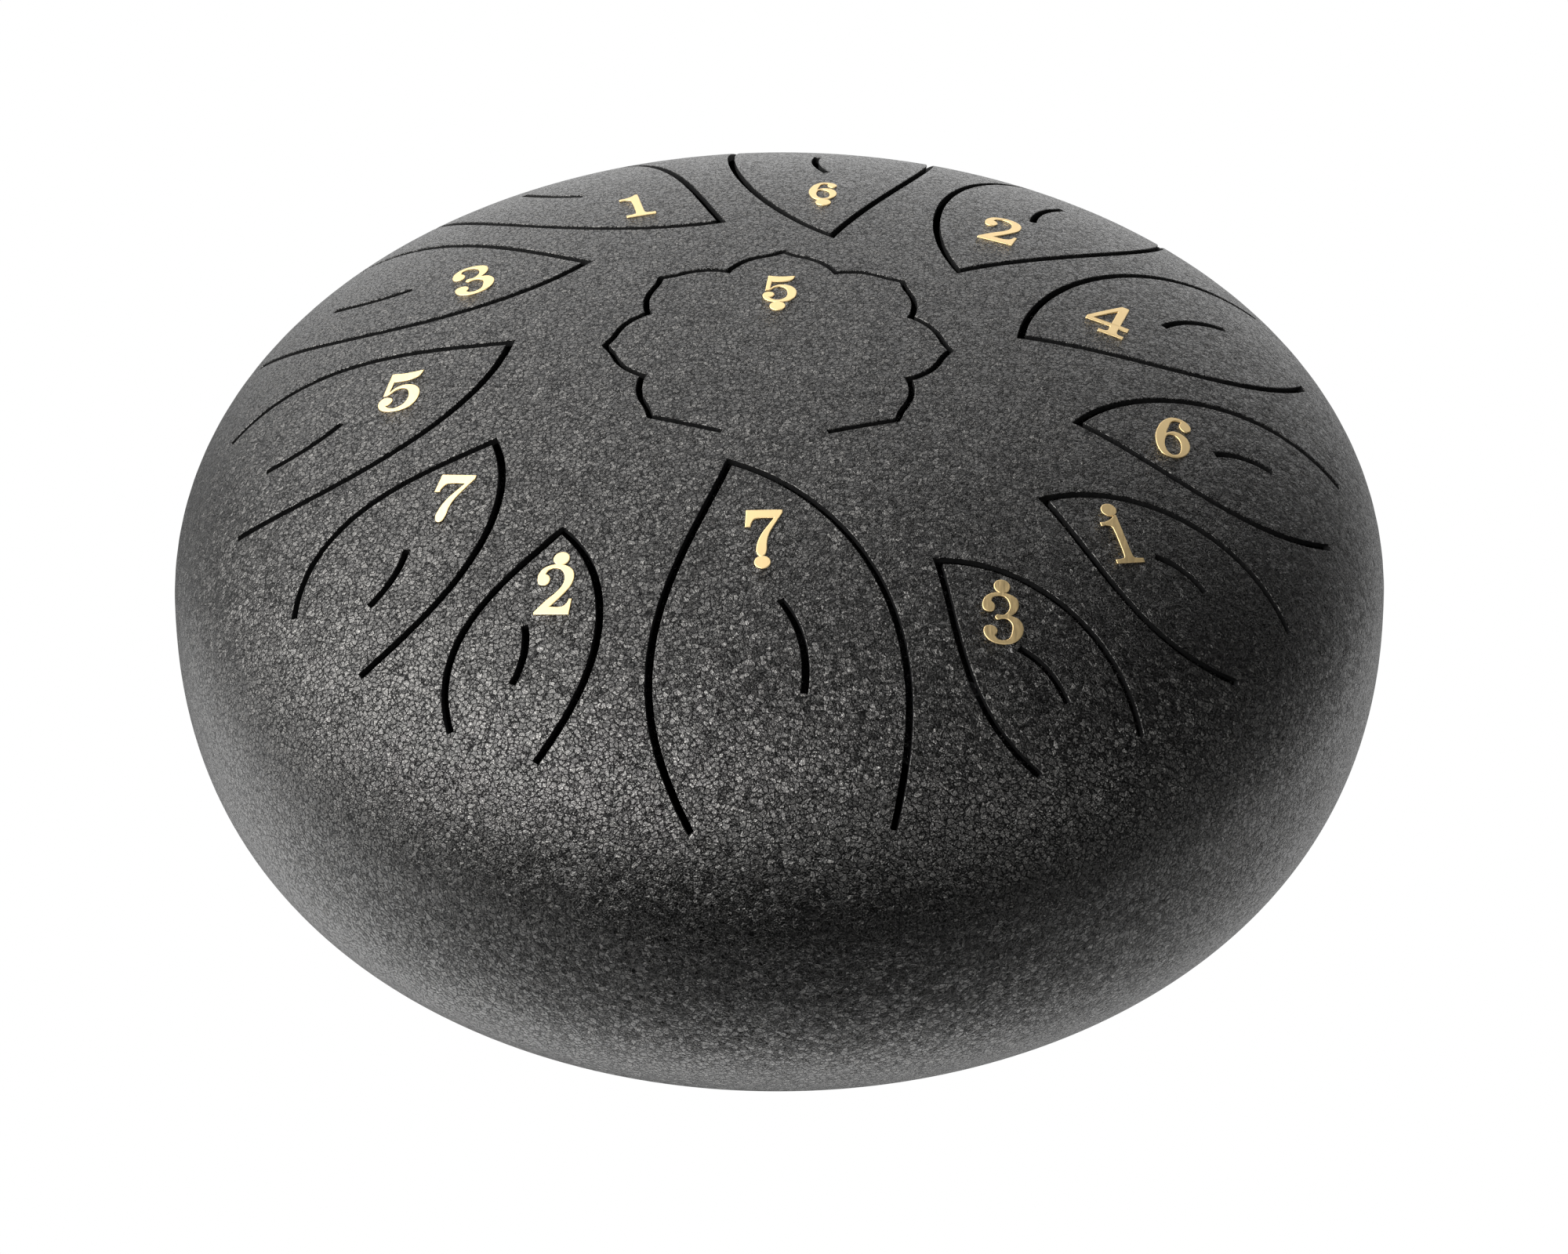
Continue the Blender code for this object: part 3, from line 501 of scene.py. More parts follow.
# ---- turned pieces ----
def turned(name, section, segments, centre=(0.0, 0.0), closed=True, lift=None, pinned=None, ripple=None):
    """Turn a section of (radius, height) about a vertical line, with its own smooth normals."""
    section = np.array(section, float)
    n = len(section)
    ahead = np.roll(section, -1, axis=0) - section
    seg_normal = unit(np.column_stack([-ahead[:, 1], ahead[:, 0]]))
    spans = n if closed else n - 1
    area = 0.5 * np.sum(section[:, 0] * np.roll(section[:, 1], -1)
                        - np.roll(section[:, 0], -1) * section[:, 1])
    if area > 0:
        seg_normal = -seg_normal
    verts, polys, normals = [], [], []
    rings = []
    for r, z in section:
        if r < 1e-7:
            rings.append([len(verts)] * segments)
            verts.append((centre[0], centre[1], z))
            continue
        ring = []
        for k in range(segments):
            a = 2 * math.pi * k / segments
            rr = r if ripple is None else ripple(r, z, a)
            x, y = centre[0] + rr * math.cos(a), centre[1] + rr * math.sin(a)
            ring.append(len(verts))
            verts.append((x, y, z if lift is None else lift(x, y, z)))
        rings.append(ring)

    def corner_normal(point, segment):
        if pinned and point in pinned and pinned[point][0] == segment:
            return np.array(pinned[point][1])
        other = (point - 1) % n if segment == point else point
        if section[point][0] < 1e-7:
            return np.array([0.0, np.sign(seg_normal[segment][1])])
        if not closed and (other >= spans):
            return seg_normal[segment]
        if seg_normal[segment] @ seg_normal[other] > 0.75:
            return unit(seg_normal[segment] + seg_normal[other])
        return seg_normal[segment]

    for p in range(spans):
        q = (p + 1) % n
        if section[p][0] < 1e-7 and section[q][0] < 1e-7:
            continue
        na, nb = corner_normal(p, p), corner_normal(q, p)
        for k in range(segments):
            m = (k + 1) % segments
            face = [(rings[p][k], na, k), (rings[q][k], nb, k), (rings[q][m], nb, m), (rings[p][m], na, m)]
            if area > 0:
                face.reverse()
            seen, poly = set(), []
            for vert, nrm, step in face:
                if vert in seen:
                    continue
                seen.add(vert)
                a = 2 * math.pi * step / segments
                poly.append(vert)
                normals.append((nrm[0] * math.cos(a), nrm[0] * math.sin(a), nrm[1]))
            polys.append(poly)
    mesh = bpy.data.meshes.new(name)
    mesh.from_pydata(verts, [], polys)
    mesh.polygons.foreach_set("use_smooth", np.ones(len(polys), bool))
    if lift is None and ripple is None:
        mesh.normals_split_custom_set(normals)
    else:
        mesh.set_sharp_from_angle(angle=math.radians(40))
    obj = bpy.data.objects.new(name, mesh)
    bpy.context.scene.collection.objects.link(obj)
    return obj


# ---- number plates ----
def smooth_loop(knots, step):
    """Closed line through the knots, sharp at the flagged ones."""
    points = np.array([k[:2] for k in knots], float)
    sharp = [len(k) > 2 for k in knots]
    n = len(points)
    out = []
    for i in range(n):
        j = (i + 1) % n
        p, q = points[i], points[j]
        d = np.linalg.norm(q - p)
        before, after = points[i - 1], points[(j + 1) % n]
        ma = (q - p) / d if sharp[i] else (q - before) / (np.linalg.norm(p - before) + d)
        mb = (q - p) / d if sharp[j] else (after - p) / (np.linalg.norm(after - q) + d)
        count = max(1, int(math.ceil(d / step)))
        for k in range(count):
            t = k / count
            out.append((2 * t ** 3 - 3 * t * t + 1) * p + (t ** 3 - 2 * t * t + t) * d * ma
                       + (3 * t * t - 2 * t ** 3) * q + (t ** 3 - t * t) * d * mb)
    return np.array(out)


def join_dot(loop, centre, radius, steps):
    """Merge a round dot into a counter-clockwise outline where the two overlap."""
    within = np.linalg.norm(loop - centre, axis=1) < radius
    first = next(i for i in range(len(loop)) if within[i] and not within[i - 1])
    loop, within = np.roll(loop, -first, axis=0), np.roll(within, -first)
    run = int(np.max(np.flatnonzero(within)))

    def meet(out, into):
        for _ in range(30):
            middle = (out + into) / 2
            if np.linalg.norm(middle - centre) > radius:
                out = middle
            else:
                into = middle
        return into

    enter = meet(loop[-1], loop[0]) - centre
    leave = meet(loop[(run + 1) % len(loop)], loop[run]) - centre
    a0 = math.atan2(enter[1], enter[0])
    sweep = (math.atan2(leave[1], leave[0]) - a0) % (2 * math.pi)
    a = a0 + sweep * np.arange(steps + 1) / steps
    arc = centre + np.column_stack([np.cos(a), np.sin(a)]) * radius
    return np.concatenate([arc, loop[run + 1:]])


def label_frame(x, y, lean):
    centre, normal = crown_at(unroll([(x, y)]))
    out = Vector(normal[0])
    a = math.radians(lean)
    up = Vector((math.sin(a), math.cos(a), 0.0))
    up.z = -(up.x * out.x + up.y * out.y) / out.z
    up.normalize()
    return np.array(centre[0]), np.array(up.cross(out)), np.array(up), np.array(out)


def wrap(placing, flat, lift):
    """Carry flat points onto the crown along the label's normal, then raise them."""
    centre, right, up, out = placing
    base = centre + flat[:, :1] * right + flat[:, 1:] * up
    drop = np.zeros(len(flat))
    for _ in range(8):
        p = base + drop[:, None] * out
        z = np.interp(np.linalg.norm(p[:, :2], axis=1), CROWN_R[:FLAT_LIMIT], CROWN_Z[:FLAT_LIMIT])
        drop += (z - p[:, 2]) * out[2]
    p = base + drop[:, None] * out
    surface, normal = crown_at(unroll(p[:, :2]))
    return surface + normal * np.asarray(lift).reshape(-1, 1), normal


def number_piece(name, label):
    digit, x, y, lean, size, dot_side, shift = label
    scale = size * MM / 100
    loops = []
    for k, knots in enumerate(DIGITS[digit]):
        loop = smooth_loop(knots, 1.6) * scale - np.array([0.0, 50 * scale])
        if (area_of(loop) < 0) == (k == 0):
            loop = loop[::-1]
        loops.append(loop)
    if dot_side:
        centre = np.array([shift * MM, dot_side * (size / 2 * MM + DOT_REACH)])
        loops[0] = join_dot(loops[0], centre, DOT_R, 44)
    placing = label_frame(x * MM, y * MM, lean)
    levels = ((0.0, -0.05), (0.0, 0.13), (0.07, 0.22), (0.20, 0.27))
    verts, row_normals = [], []
    total = sum(len(loop) for loop in loops)
    for inset, lift in levels:
        moved = np.concatenate([offset(loop, inset * MM, closed=True) for loop in loops])
        points, normal = wrap(placing, moved, np.full(total, lift * MM))
        verts.append(points)
        row_normals.append(normal)
    outward = np.concatenate([-(offset(loop, 1.0, closed=True) - loop) for loop in loops])
    outward = unit(outward)
    _, right, up, _ = placing
    side = unit(outward[:, :1] * right + outward[:, 1:] * up)
    starts = [total * k for k in range(4)]
    blends = (0.0, 0.25, 0.75, 0.92)
    rows = [unit(side * (1 - b) + row_normals[k] * b) for k, b in enumerate(blends)]
    polys, normals = [], []
    begin = 0
    for loop in loops:
        count = len(loop)
        for i in range(count):
            a, b = begin + i, begin + (i + 1) % count
            for level in range(3):
                lo, hi = starts[level], starts[level + 1]
                polys.append((a + lo, b + lo, b + hi, a + hi))
                normals += [rows[level][a], rows[level][b], rows[level + 1][b], rows[level + 1][a]]
        begin += count
    cap_flat = [offset(loop, levels[3][0] * MM, closed=True) for loop in loops]
    flat_points = np.concatenate(cap_flat)
    cap_loops = [[Vector((float(px), float(py), 0.0)) for px, py in loop] for loop in cap_flat]
    tris = geometry.tessellate_polygon(cap_loops)
    for tri in tris:
        p, q, r = (flat_points[v] for v in tri)
        tri = list(tri)
        if np.cross(q - p, r - p) < 0:
            tri.reverse()
        polys.append(tuple(v + starts[3] for v in tri))
        normals += [row_normals[3][v] for v in tri]
        low = tri[::-1]
        polys.append(tuple(low))
        normals += [-row_normals[0][v] for v in low]
    mesh = bpy.data.meshes.new(name)
    mesh.from_pydata(np.concatenate(verts).tolist(), [], [tuple(int(v) for v in p) for p in polys])
    mesh.polygons.foreach_set("use_smooth", np.ones(len(polys), bool))
    mesh.normals_split_custom_set([tuple(float(c) for c in v) for v in normals])
    obj = bpy.data.objects.new(name, mesh)
    bpy.context.scene.collection.objects.link(obj)
    return obj


# ---- materials ----
def new_material(name, colour, metallic, roughness):
    mat = bpy.data.materials.new(name)
    mat.use_nodes = True
    bsdf = mat.node_tree.nodes["Principled BSDF"]
    bsdf.inputs["Base Color"].default_value = (*colour, 1.0)
    bsdf.inputs["Metallic"].default_value = metallic
    bsdf.inputs["Roughness"].default_value = roughness
    return mat, bsdf


class Nodes:
    """Short calls for building a node tree."""

    def __init__(self, mat):
        self.tree = mat.node_tree
        self.coords = self.tree.nodes.new("ShaderNodeTexCoord").outputs["Object"]

    def link(self, value, socket):
        if isinstance(value, (int, float, tuple)):
            socket.default_value = value
        else:
            self.tree.links.new(value, socket)

    def math(self, operation, a, b=0.0, c=0.0, clamp=False):
        node = self.tree.nodes.new("ShaderNodeMath")
        node.operation = operation
        node.use_clamp = clamp
        for k, value in enumerate((a, b, c)):
            self.link(value, node.inputs[k])
        return node.outputs[0]

    def vector(self, operation, a, b, c=(0.0, 0.0, 0.0)):
        node = self.tree.nodes.new("ShaderNodeVectorMath")
        node.operation = operation
        for k, value in enumerate((a, b, c)):
            self.link(value, node.inputs[k])
        return node.outputs["Value" if operation in ("DOT_PRODUCT", "LENGTH") else 0]

    def scaled(self, factor, shift=(0.0, 0.0, 0.0), turn=(0.0, 0.0, 0.0)):
        node = self.tree.nodes.new("ShaderNodeMapping")
        self.link(self.coords, node.inputs["Vector"])
        node.inputs["Scale"].default_value = factor if isinstance(factor, tuple) else (factor,) * 3
        node.inputs["Location"].default_value = shift
        node.inputs["Rotation"].default_value = turn
        return node.outputs[0]

    def noise(self, vector, scale, detail=2.0, rough=0.5, distortion=0.0):
        node = self.tree.nodes.new("ShaderNodeTexNoise")
        self.link(vector, node.inputs["Vector"])
        node.inputs["Scale"].default_value = scale
        node.inputs["Detail"].default_value = detail
        node.inputs["Roughness"].default_value = rough
        node.inputs["Distortion"].default_value = distortion
        return node

    def voronoi(self, vector, scale, feature, randomness=1.0):
        node = self.tree.nodes.new("ShaderNodeTexVoronoi")
        node.feature = feature
        self.link(vector, node.inputs["Vector"])
        node.inputs["Scale"].default_value = scale
        node.inputs["Randomness"].default_value = randomness
        return node

    def ramp(self, value, stops):
        node = self.tree.nodes.new("ShaderNodeValToRGB")
        self.link(value, node.inputs[0])
        while len(node.color_ramp.elements) < len(stops):
            node.color_ramp.elements.new(0.5)
        for element, (position, level) in zip(node.color_ramp.elements, stops):
            element.position = position
            level = level if isinstance(level, tuple) else (level,) * 3
            element.color = (*level, 1.0)
        return node.outputs[0]

    def span(self, value, low, high, to_low=0.0, to_high=1.0, smooth=False):
        node = self.tree.nodes.new("ShaderNodeMapRange")
        node.interpolation_type = "SMOOTHSTEP" if smooth else "LINEAR"
        self.link(value, node.inputs["Value"])
        node.inputs["From Min"].default_value = low
        node.inputs["From Max"].default_value = high
        node.inputs["To Min"].default_value = to_low
        node.inputs["To Max"].default_value = to_high
        return node.outputs["Result"]

    def bump(self, height, distance, strength=1.0, under=None):
        node = self.tree.nodes.new("ShaderNodeBump")
        self.link(height, node.inputs["Height"])
        node.inputs["Distance"].default_value = distance
        node.inputs["Strength"].default_value = strength
        if under is not None:
            self.link(under, node.inputs["Normal"])
        return node.outputs["Normal"]


def leather_coat(name):
    """Charcoal coat with a leather grain: small plates, each tipped its own way, between thin creases that
    the base colour darkens as painted shade.
    """
    mat, bsdf = new_material(name, (0.06, 0.06, 0.06), 1.0, 0.25)
    n = Nodes(mat)
    drift = n.noise(n.coords, 900.0, 3.0, 0.6).outputs["Color"]
    wander = n.vector("MULTIPLY_ADD", drift, (0.0017,) * 3, n.coords)
    grain = n.vector("MULTIPLY", wander, (740.0, 880.0, 740.0))
    plate = n.voronoi(grain, 1.0, "F1")
    local = n.vector("SUBTRACT", grain, plate.outputs["Position"])
    lean = n.vector("SUBTRACT", plate.outputs["Color"], (0.5, 0.5, 0.5))
    tipped = n.vector("DOT_PRODUCT", lean, local)
    crease = n.span(n.voronoi(grain, 1.0, "DISTANCE_TO_EDGE").outputs["Distance"], 0.01, 0.13, smooth=True)
    pebble = n.span(n.voronoi(n.vector("MULTIPLY", wander, (1900.0, 2200.0, 1900.0)), 1.0,
                              "DISTANCE_TO_EDGE").outputs["Distance"], 0.0, 0.3, smooth=True)
    fine = n.noise(n.coords, 2400.0, 2.0, 0.6).outputs["Fac"]
    swell = n.noise(n.coords, 260.0, 3.0, 0.55).outputs["Fac"]
    height = n.math("MULTIPLY", tipped, 0.46)
    height = n.math("MULTIPLY_ADD", crease, 0.05, height)
    height = n.math("MULTIPLY_ADD", pebble, 0.03, height)
    height = n.math("MULTIPLY_ADD", fine, 0.09, height)
    height = n.math("MULTIPLY_ADD", swell, 0.36, height)
    n.link(n.bump(height, MM), bsdf.inputs["Normal"])
    worn = n.math("MULTIPLY_ADD", fine, 0.6, n.span(plate.outputs["Color"], 0.0, 1.0, -0.1, 0.4))
    rough = n.math("ADD", n.span(crease, 0.0, 1.0, 0.20, 0.0), n.span(worn, 0.0, 0.8, 0.27, 0.17))
    n.link(rough, bsdf.inputs["Roughness"])
    # Base colour: darker in the creases and the fine pebble grain as painted shade, and varied plate to
    # plate by random tone and wear.
    crease_shade_and_wear = n.math("MULTIPLY", n.math("MULTIPLY", crease, n.span(pebble, 0.0, 1.0, 0.50, 1.0)),
                   n.span(worn, 0.1, 0.7, 0.55, 1.0))
    n.link(n.ramp(crease_shade_and_wear, ((0.0, (0.004, 0.004, 0.004)), (0.45, (0.050, 0.0490, 0.0480)),
                          (1.0, (0.165, 0.160, 0.151)))), bsdf.inputs["Base Color"])
    return mat


def gold_plate(name):
    mat, bsdf = new_material(name, (0.74, 0.56, 0.29), 1.0, 0.46)
    n = Nodes(mat)
    brush = n.noise(n.scaled((2600.0, 260.0, 600.0)), 1.0, 3.0, 0.6).outputs["Fac"]
    n.link(n.bump(brush, 0.00001, 0.5), bsdf.inputs["Normal"])
    n.link(n.span(brush, 0.3, 0.7, 0.40, 0.52), bsdf.inputs["Roughness"])
    return mat


def rubber(name):
    mat, bsdf = new_material(name, (0.018, 0.018, 0.018), 0.0, 0.75)
    n = Nodes(mat)
    grain = n.noise(n.coords, 1800.0, 4.0, 0.6).outputs["Fac"]
    n.link(n.bump(grain, 0.00008, 0.6), bsdf.inputs["Normal"])
    n.link(n.span(grain, 0.3, 0.7, 0.68, 0.85), bsdf.inputs["Roughness"])
    return mat


def zinc(name):
    mat, bsdf = new_material(name, (0.60, 0.60, 0.61), 1.0, 0.32)
    n = Nodes(mat)
    patch = n.noise(n.coords, 700.0, 3.0, 0.6).outputs["Fac"]
    n.link(n.span(patch, 0.3, 0.7, 0.26, 0.42), bsdf.inputs["Roughness"])
    n.link(n.ramp(patch, ((0.3, (0.50, 0.50, 0.52)), (0.7, (0.68, 0.67, 0.66)))), bsdf.inputs["Base Color"])
    return mat


def cut_oxide_and_shade(name):
    """Laser-cut wall: dark oxide, made near black as painted shade in the narrow slots, with fine upright
    cut lines and a little scale.
    """
    mat, bsdf = new_material(name, (0.003, 0.003, 0.003), 0.0, 0.6)
    # Near-black colour and weak specular stand in for the shade inside the slots, on top of the cut's own
    # oxide.
    bsdf.inputs["Specular IOR Level"].default_value = 0.25
    n = Nodes(mat)
    lines = n.noise(n.scaled((3800.0, 3800.0, 500.0)), 1.0, 3.0, 0.6).outputs["Fac"]
    n.link(n.bump(lines, 0.00005, 0.6), bsdf.inputs["Normal"])
    n.link(n.span(lines, 0.3, 0.7, 0.5, 0.75), bsdf.inputs["Roughness"])
    n.link(n.ramp(lines, ((0.3, 0.0012), (0.7, 0.006))), bsdf.inputs["Base Color"])
    return mat


COAT = leather_coat("leather_coat")
CUT = cut_oxide_and_shade("cut_oxide_and_shade")
GOLD = gold_plate("gold_plate")
RUBBER = rubber("moulded_rubber")
ZINC = zinc("zinc_plate")


def dress(obj, mat, body, slot, *nodes):
    if mat is not None:
        obj.data.materials.clear()
        obj.data.materials.append(mat)
    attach(obj, body)
    if nodes:
        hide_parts(*nodes)
    return obj


# ---- crown and notes ----
lotus = join_runs(lotus_sides())
slots = {"low_5": Slot(lotus, LOTUS_SLOT_W, 5)}
for k, leaf in enumerate(LEAVES):
    round_side, waved_side = leaf_centre_line(leaf)
    slots[leaf[0]] = Slot(join_runs([round_side, waved_side]), SLOT_W, 20 + 2 * k)

angle = 2 * math.pi * np.arange(420) / 420
brim = np.column_stack([np.cos(angle), np.sin(angle)]) * CROWN_S[-1]
crown = sheet_piece("crown", (brim, brim), [(s.bowl_rim, s.bowl_cut) for s in slots.values()], equator=True)
dress(crown, None, "drum", "coating", "upper_shell")

for name, cut in slots.items():
    holes = []
    if name in VEINS:
        leaf = next(row for row in LEAVES if row[0] == name)
        across = polar(leaf[3], leaf[4]) - polar(leaf[3], leaf[5])
        holes.append(vein_loops(VEINS[name], across))
    leaf_obj = sheet_piece("leaf_" + name, (cut.note_rim, cut.note_cut), holes)
    dress(leaf_obj, None, "note_" + name, "note_coating", "tongue_" + name)
    plate = number_piece("plate_" + name, NUMBERS[name])
    dress(plate, GOLD, "note_" + name, "gold", "number_" + name)

# ---- lower bowl, with a rolled lip at the sound hole ----
start_s = float(np.interp(SOUND_HOLE_R, BASE_R, BASE_S))
s = np.linspace(BASE_S[-1], start_s, 90)
outer = np.column_stack([np.interp(s, BASE_S, BASE_R), np.interp(s, BASE_S, BASE_Z)])
slope = unit(np.column_stack([np.interp(s, BASE_S, BASE_DR), np.interp(s, BASE_S, BASE_DZ)]))
slope[0] = (0.0, 1.0)
inner = outer + np.column_stack([-slope[:, 1], slope[:, 0]]) * WALL
lip_centre = (outer[-1] + inner[-1]) / 2
lip = []
away = unit((outer[-1] - outer[-2])[None])[0]
across = unit((inner[-1] - outer[-1])[None])[0]
for t in np.linspace(0.0, math.pi, 9)[1:-1]:
    lip.append(lip_centre - across * math.cos(t) * WALL / 2 + away * math.sin(t) * WALL / 2)
section = np.concatenate([outer, np.array(lip), inner[::-1]])
bowl = turned("lower_bowl", section, 288, pinned={0: (0, (1.0, 0.0))})
dress(bowl, COAT, "drum", "coating", "lower_shell")

# ---- weld bead inside the seam ----
def bead_ripple(r, z, a):
    """Radius of the bead with its ripples, which are on its inner side only."""
    if r < RADIUS - WALL - 0.1 * MM:
        return r - 0.12 * MM * math.sin(a * 160)
    return r


bead = [(RADIUS - WALL - 0.9 * MM * math.sin(t), EQUATOR_Z - 2.2 * MM * math.cos(t))
        for t in np.linspace(0.0, math.pi, 9)]
bead = [(RADIUS - WALL - 0.02 * MM, p[1]) if i in (0, 8) else p for i, p in enumerate(bead)]
weld = turned("seam_bead", bead, 480, ripple=bead_ripple)
dress(weld, COAT, "drum", "weld_paint", "seam_weld")


# ---- feet and their fasteners ----
def base_under(x, y):
    return float(np.interp(math.hypot(x, y), BASE_R, BASE_Z))


for k in range(1, 5):
    low, high = (np.array(p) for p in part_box("foot_%d" % k))
    centre = tuple((low[:2] + high[:2]) / 2)
    top_z = base_under(*centre)
    wide = (high[0] - low[0]) / 2
    foot = turned("rubber_foot_%d" % k, [
        (4.7 * MM, 0.35 * MM), (5.0 * MM, 0.0), (8.6 * MM, 0.0), (9.3 * MM, 0.2 * MM), (9.7 * MM, 0.8 * MM),
        (10.5 * MM, top_z - 2.2 * MM), (wide - 0.1 * MM, top_z - 1.3 * MM), (wide, top_z - 0.9 * MM),
        (wide, top_z - 0.05 * MM), (2.3 * MM, top_z - 0.05 * MM), (2.3 * MM, 3.6 * MM), (4.7 * MM, 3.6 * MM),
    ], 72, centre, lift=lambda x, y, z, t=top_z: z if z < t - 0.5 * MM else base_under(x, y) - (t - z))
    dress(foot, RUBBER, "drum", "rubber", "foot_%d" % k)

    low, high = (np.array(p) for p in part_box("foot_screw_%d" % k))
    head_top = low[2] + 2.4 * MM
    dome = [(3.8 * MM * math.sin(t), head_top - 1.1 * MM - 1.3 * MM * math.cos(t))
            for t in np.linspace(0.0, math.pi / 2, 9)]
    threads = []
    z = head_top + 1.6 * MM
    while z < high[2] - 0.8 * MM:
        threads += [(1.62 * MM, z), (1.9 * MM, z + 0.3 * MM), (1.62 * MM, z + 0.6 * MM)]
        z += 0.7 * MM
    screw = turned("screw_%d" % k, dome + [(3.8 * MM, head_top - 0.1 * MM), (3.7 * MM, head_top),
                                           (1.9 * MM, head_top), (1.9 * MM, head_top + 1.4 * MM)] + threads
                   + [(1.6 * MM, high[2] - 0.2 * MM), (1.3 * MM, high[2]), (0.0, high[2])], 48, centre)
    cross = bmesh.new()
    for turn in (0, math.pi / 2):
        made = bmesh.ops.create_cube(cross, size=1.0)["verts"]
        for v in made:
            wide_here = 2.4 if v.co.z < 0 else 1.1
            v.co = Vector((v.co.x * wide_here * 2 * MM, v.co.y * 0.9 * MM, v.co.z * 2.6 * MM))
        bmesh.ops.rotate(cross, verts=made, matrix=Matrix.Rotation(turn + 0.5 * k, 3, "Z"))
    bmesh.ops.translate(cross, verts=cross.verts, vec=Vector((centre[0], centre[1], low[2] + 0.1 * MM)))
    cut_mesh = bpy.data.meshes.new("cross")
    cross.to_mesh(cut_mesh)
    cross.free()
    cutter = bpy.data.objects.new("cross", cut_mesh)
    bpy.context.scene.collection.objects.link(cutter)
    mod = screw.modifiers.new("cross", "BOOLEAN")
    mod.object = cutter
    mod.operation = "DIFFERENCE"
    mod.solver = "EXACT"
    mod.use_self = True
    graph = bpy.context.evaluated_depsgraph_get()
    done = bpy.data.meshes.new_from_object(screw.evaluated_get(graph))
    screw.modifiers.clear()
    screw.data = done
    done.set_sharp_from_angle(angle=math.radians(35))
    bpy.data.objects.remove(cutter)
    dress(screw, ZINC, "drum", "steel", "foot_screw_%d" % k)

    low, high = (np.array(p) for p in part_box("foot_washer_%d" % k))
    washer = turned("washer_%d" % k, [
        (2.25 * MM, low[2]), (4.4 * MM, low[2]),
        (4.5 * MM, low[2] + 0.1 * MM), (4.5 * MM, high[2] - 0.1 * MM),
        (4.4 * MM, high[2]), (2.25 * MM, high[2]),
    ], 64, centre)
    dress(washer, ZINC, "drum", "steel", "foot_washer_%d" % k)

    low, high = (np.array(p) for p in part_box("foot_nut_%d" % k))
    flat_r = 3.5 * MM
    rows = ((2.25, 0.3, 0), (2.6, 0.0, 0), (3.3, 0.0, 0), (4.1, 0.35, 1), (4.1, 2.85, 1), (3.3, 3.2, 0),
            (2.6, 3.2, 0), (2.25, 2.9, 0))
    mesh_b = bmesh.new()
    rings = []
    for r, z, hexed in rows:
        ring = []
        for i in range(72):
            a = 2 * math.pi * i / 72
            near = (a + math.pi / 6) % (math.pi / 3) - math.pi / 6
            reach = min(r * MM, flat_r / math.cos(near)) if hexed else r * MM
            ring.append(mesh_b.verts.new((centre[0] + reach * math.cos(a), centre[1] + reach * math.sin(a),
                                          low[2] + z * MM)))
        rings.append(ring)
    for a_ring, b_ring in zip(rings, rings[1:] + rings[:1]):
        for i in range(72):
            j = (i + 1) % 72
            mesh_b.faces.new((a_ring[i], a_ring[j], b_ring[j], b_ring[i]))
    bmesh.ops.recalc_face_normals(mesh_b, faces=mesh_b.faces)
    nut_mesh = bpy.data.meshes.new("nut_%d" % k)
    mesh_b.to_mesh(nut_mesh)
    mesh_b.free()
    nut_mesh.polygons.foreach_set("use_smooth", np.ones(len(nut_mesh.polygons), bool))
    nut_mesh.set_sharp_from_angle(angle=math.radians(20))
    nut = bpy.data.objects.new("nut_%d" % k, nut_mesh)
    bpy.context.scene.collection.objects.link(nut)
    dress(nut, ZINC, "drum", "steel", "foot_nut_%d" % k)


# ---- floor, light and camera ----
FLOOR_HALF = 40
FLOOR_Z = -0.2 * MM
floor_mesh = bpy.data.meshes.new("floor")
floor_corners = [(x * FLOOR_HALF, y * FLOOR_HALF, FLOOR_Z) for x, y in ((-1, -1), (1, -1), (1, 1), (-1, 1))]
floor_mesh.from_pydata(floor_corners, [], [(0, 1, 2, 3)])
floor = bpy.data.objects.new("floor", floor_mesh)
bpy.context.scene.collection.objects.link(floor)
floor_mat = bpy.data.materials.new("pale_floor")
floor_mat.use_nodes = True
floor_mat.node_tree.nodes.clear()
f = Nodes(floor_mat)
white = f.tree.nodes.new("ShaderNodeEmission")
clear = f.tree.nodes.new("ShaderNodeBsdfTransparent")
seen = f.tree.nodes.new("ShaderNodeMixShader")
# The floor glows white to the camera, but a disc under the drum is black and also blocks light from below: a
# painted shadow under the drum.
from_axis = f.vector("LENGTH", f.coords, (0.0, 0.0, 0.0))
lit = f.span(from_axis, 0.33 * RADIUS, 0.45 * RADIUS, 0.0, 1.0, smooth=True)
f.link(lit, white.inputs["Strength"])
eye = f.tree.nodes.new("ShaderNodeLightPath").outputs["Is Camera Ray"]
below = f.tree.nodes.new("ShaderNodeNewGeometry").outputs["Backfacing"]
shown = f.math("MAXIMUM", eye, f.math("SUBTRACT", 1.0, lit))
f.link(f.math("MULTIPLY", shown, f.math("SUBTRACT", 1.0, below)), seen.inputs["Fac"])
f.tree.links.new(clear.outputs[0], seen.inputs[1])
f.tree.links.new(white.outputs[0], seen.inputs[2])
f.tree.links.new(seen.outputs[0], f.tree.nodes.new("ShaderNodeOutputMaterial").inputs["Surface"])
floor_mesh.materials.append(floor_mat)

world = bpy.data.worlds.new("studio")
bpy.context.scene.world = world
world.use_nodes = True
tree = world.node_tree
tree.nodes.clear()
coord = tree.nodes.new("ShaderNodeTexCoord").outputs["Generated"]


def direction(azimuth, elevation):
    """Unit vector; azimuth clockwise from the back, seen from above."""
    a, e = math.radians(azimuth), math.radians(elevation)
    return math.sin(a) * math.cos(e), math.cos(a) * math.cos(e), math.sin(e)


def world_math(operation, a, b):
    node = tree.nodes.new("ShaderNodeMath")
    node.operation = operation
    for k, value in enumerate((a, b)):
        if isinstance(value, (int, float)):
            node.inputs[k].default_value = value
        else:
            tree.links.new(value, node.inputs[k])
    return node.outputs[0]


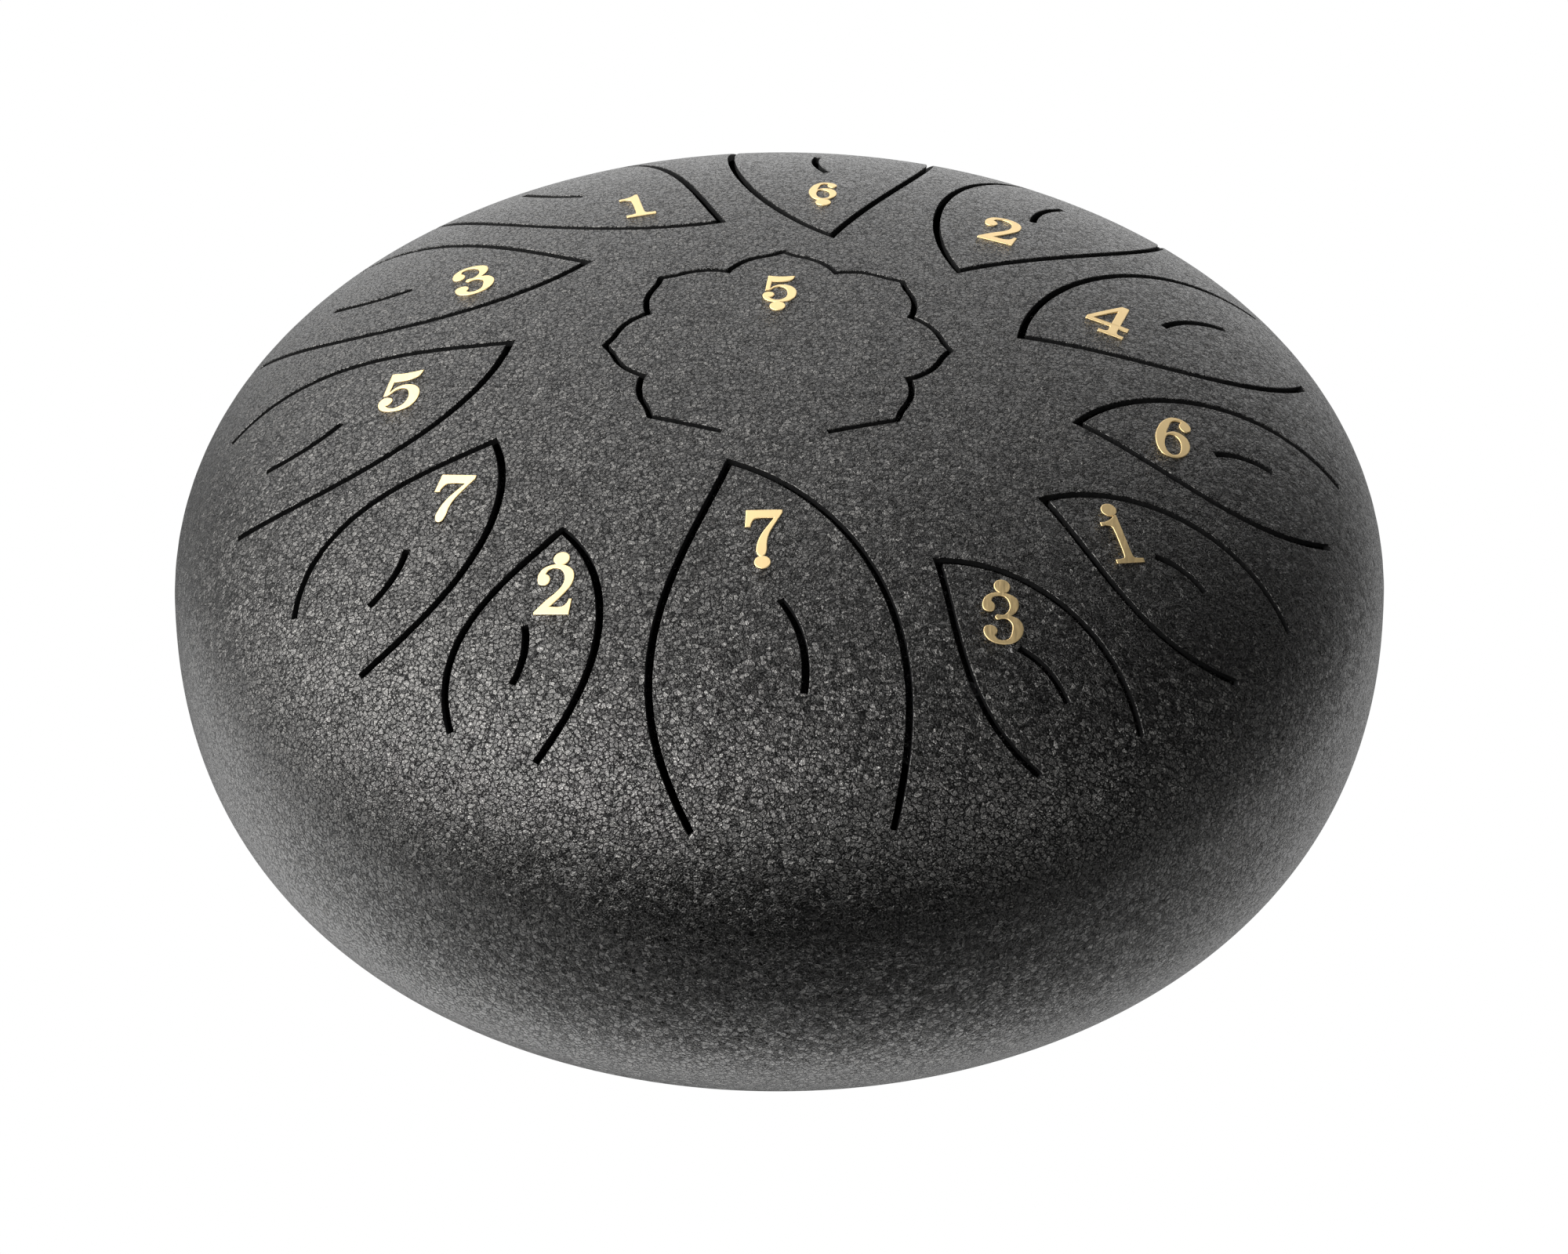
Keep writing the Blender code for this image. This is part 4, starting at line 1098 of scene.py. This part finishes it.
def soft_patch(azimuth, elevation, inner, outer, level):
    """A round soft light in the sky: full inside one angle, none past the other."""
    dot = tree.nodes.new("ShaderNodeVectorMath")
    dot.operation = "DOT_PRODUCT"
    tree.links.new(coord, dot.inputs[0])
    dot.inputs[1].default_value = direction(azimuth, elevation)
    span = tree.nodes.new("ShaderNodeMapRange")
    span.interpolation_type = "SMOOTHSTEP"
    tree.links.new(dot.outputs["Value"], span.inputs["Value"])
    span.inputs["From Min"].default_value = math.cos(math.radians(outer))
    span.inputs["From Max"].default_value = math.cos(math.radians(inner))
    span.inputs["To Min"].default_value = 0.0
    span.inputs["To Max"].default_value = level
    return span.outputs["Result"]


# Studio rig: azimuth and elevation in degrees, the angles where each soft light is full and gone, strength
RIG = {
    "key_front_left": (225, 45, 5, 35, 8.0),
    "strip_left": (270, 20, 5, 35, 6.0),
    "box_back_left": (315, 45, 5, 35, 4.0),
    "wash_back": (0, 10, 5, 50, 1.5),
    "fill_front_right": (135, 25, 5, 30, 2.0),
    "table_left": (285, -45, 5, 45, 2.0),
    "table_right": (60, -45, 5, 45, 1.0),
    "table_under": (0, -90, 5, 30, 2.0),
}
total = 0.0
for light in RIG.values():
    total = world_math("ADD", soft_patch(*light), total)
sky = tree.nodes.new("ShaderNodeBackground")
sky.inputs["Color"].default_value = (1.0, 1.0, 1.0, 1.0)
tree.links.new(total, sky.inputs["Strength"])
out = tree.nodes.new("ShaderNodeOutputWorld")
tree.links.new(sky.outputs[0], out.inputs["Surface"])

# Camera: turn to the right, tilt down and roll in degrees, its place, and its lens in millimetres
CAMERA_TURN = (-1.365, 36.744, -0.345)
CAMERA_PLACE = (0.2338 * RADIUS, -9.5062 * RADIUS, 7.0194 * RADIUS + EQUATOR_Z)
LENS = 163.4
yaw, pitch, roll = (math.radians(a) for a in CAMERA_TURN)
ahead = Vector((math.sin(yaw) * math.cos(pitch), math.cos(yaw) * math.cos(pitch), -math.sin(pitch)))
right = Vector((math.cos(yaw), -math.sin(yaw), 0.0))
above = right.cross(ahead)
right, above = (right * math.cos(roll) + above * math.sin(roll),
                above * math.cos(roll) - right * math.sin(roll))
camera_data = bpy.data.cameras.new("camera")
camera_data.sensor_fit = "HORIZONTAL"
camera_data.sensor_width = 36.0
camera_data.lens = LENS
camera_data.clip_end = 200.0
camera = bpy.data.objects.new("camera", camera_data)
bpy.context.scene.collection.objects.link(camera)
turn = Matrix((right, above, -ahead)).transposed().to_4x4()
camera.matrix_world = Matrix.Translation(CAMERA_PLACE) @ turn
bpy.context.scene.camera = camera
bpy.context.scene.view_settings.view_transform = "Standard"
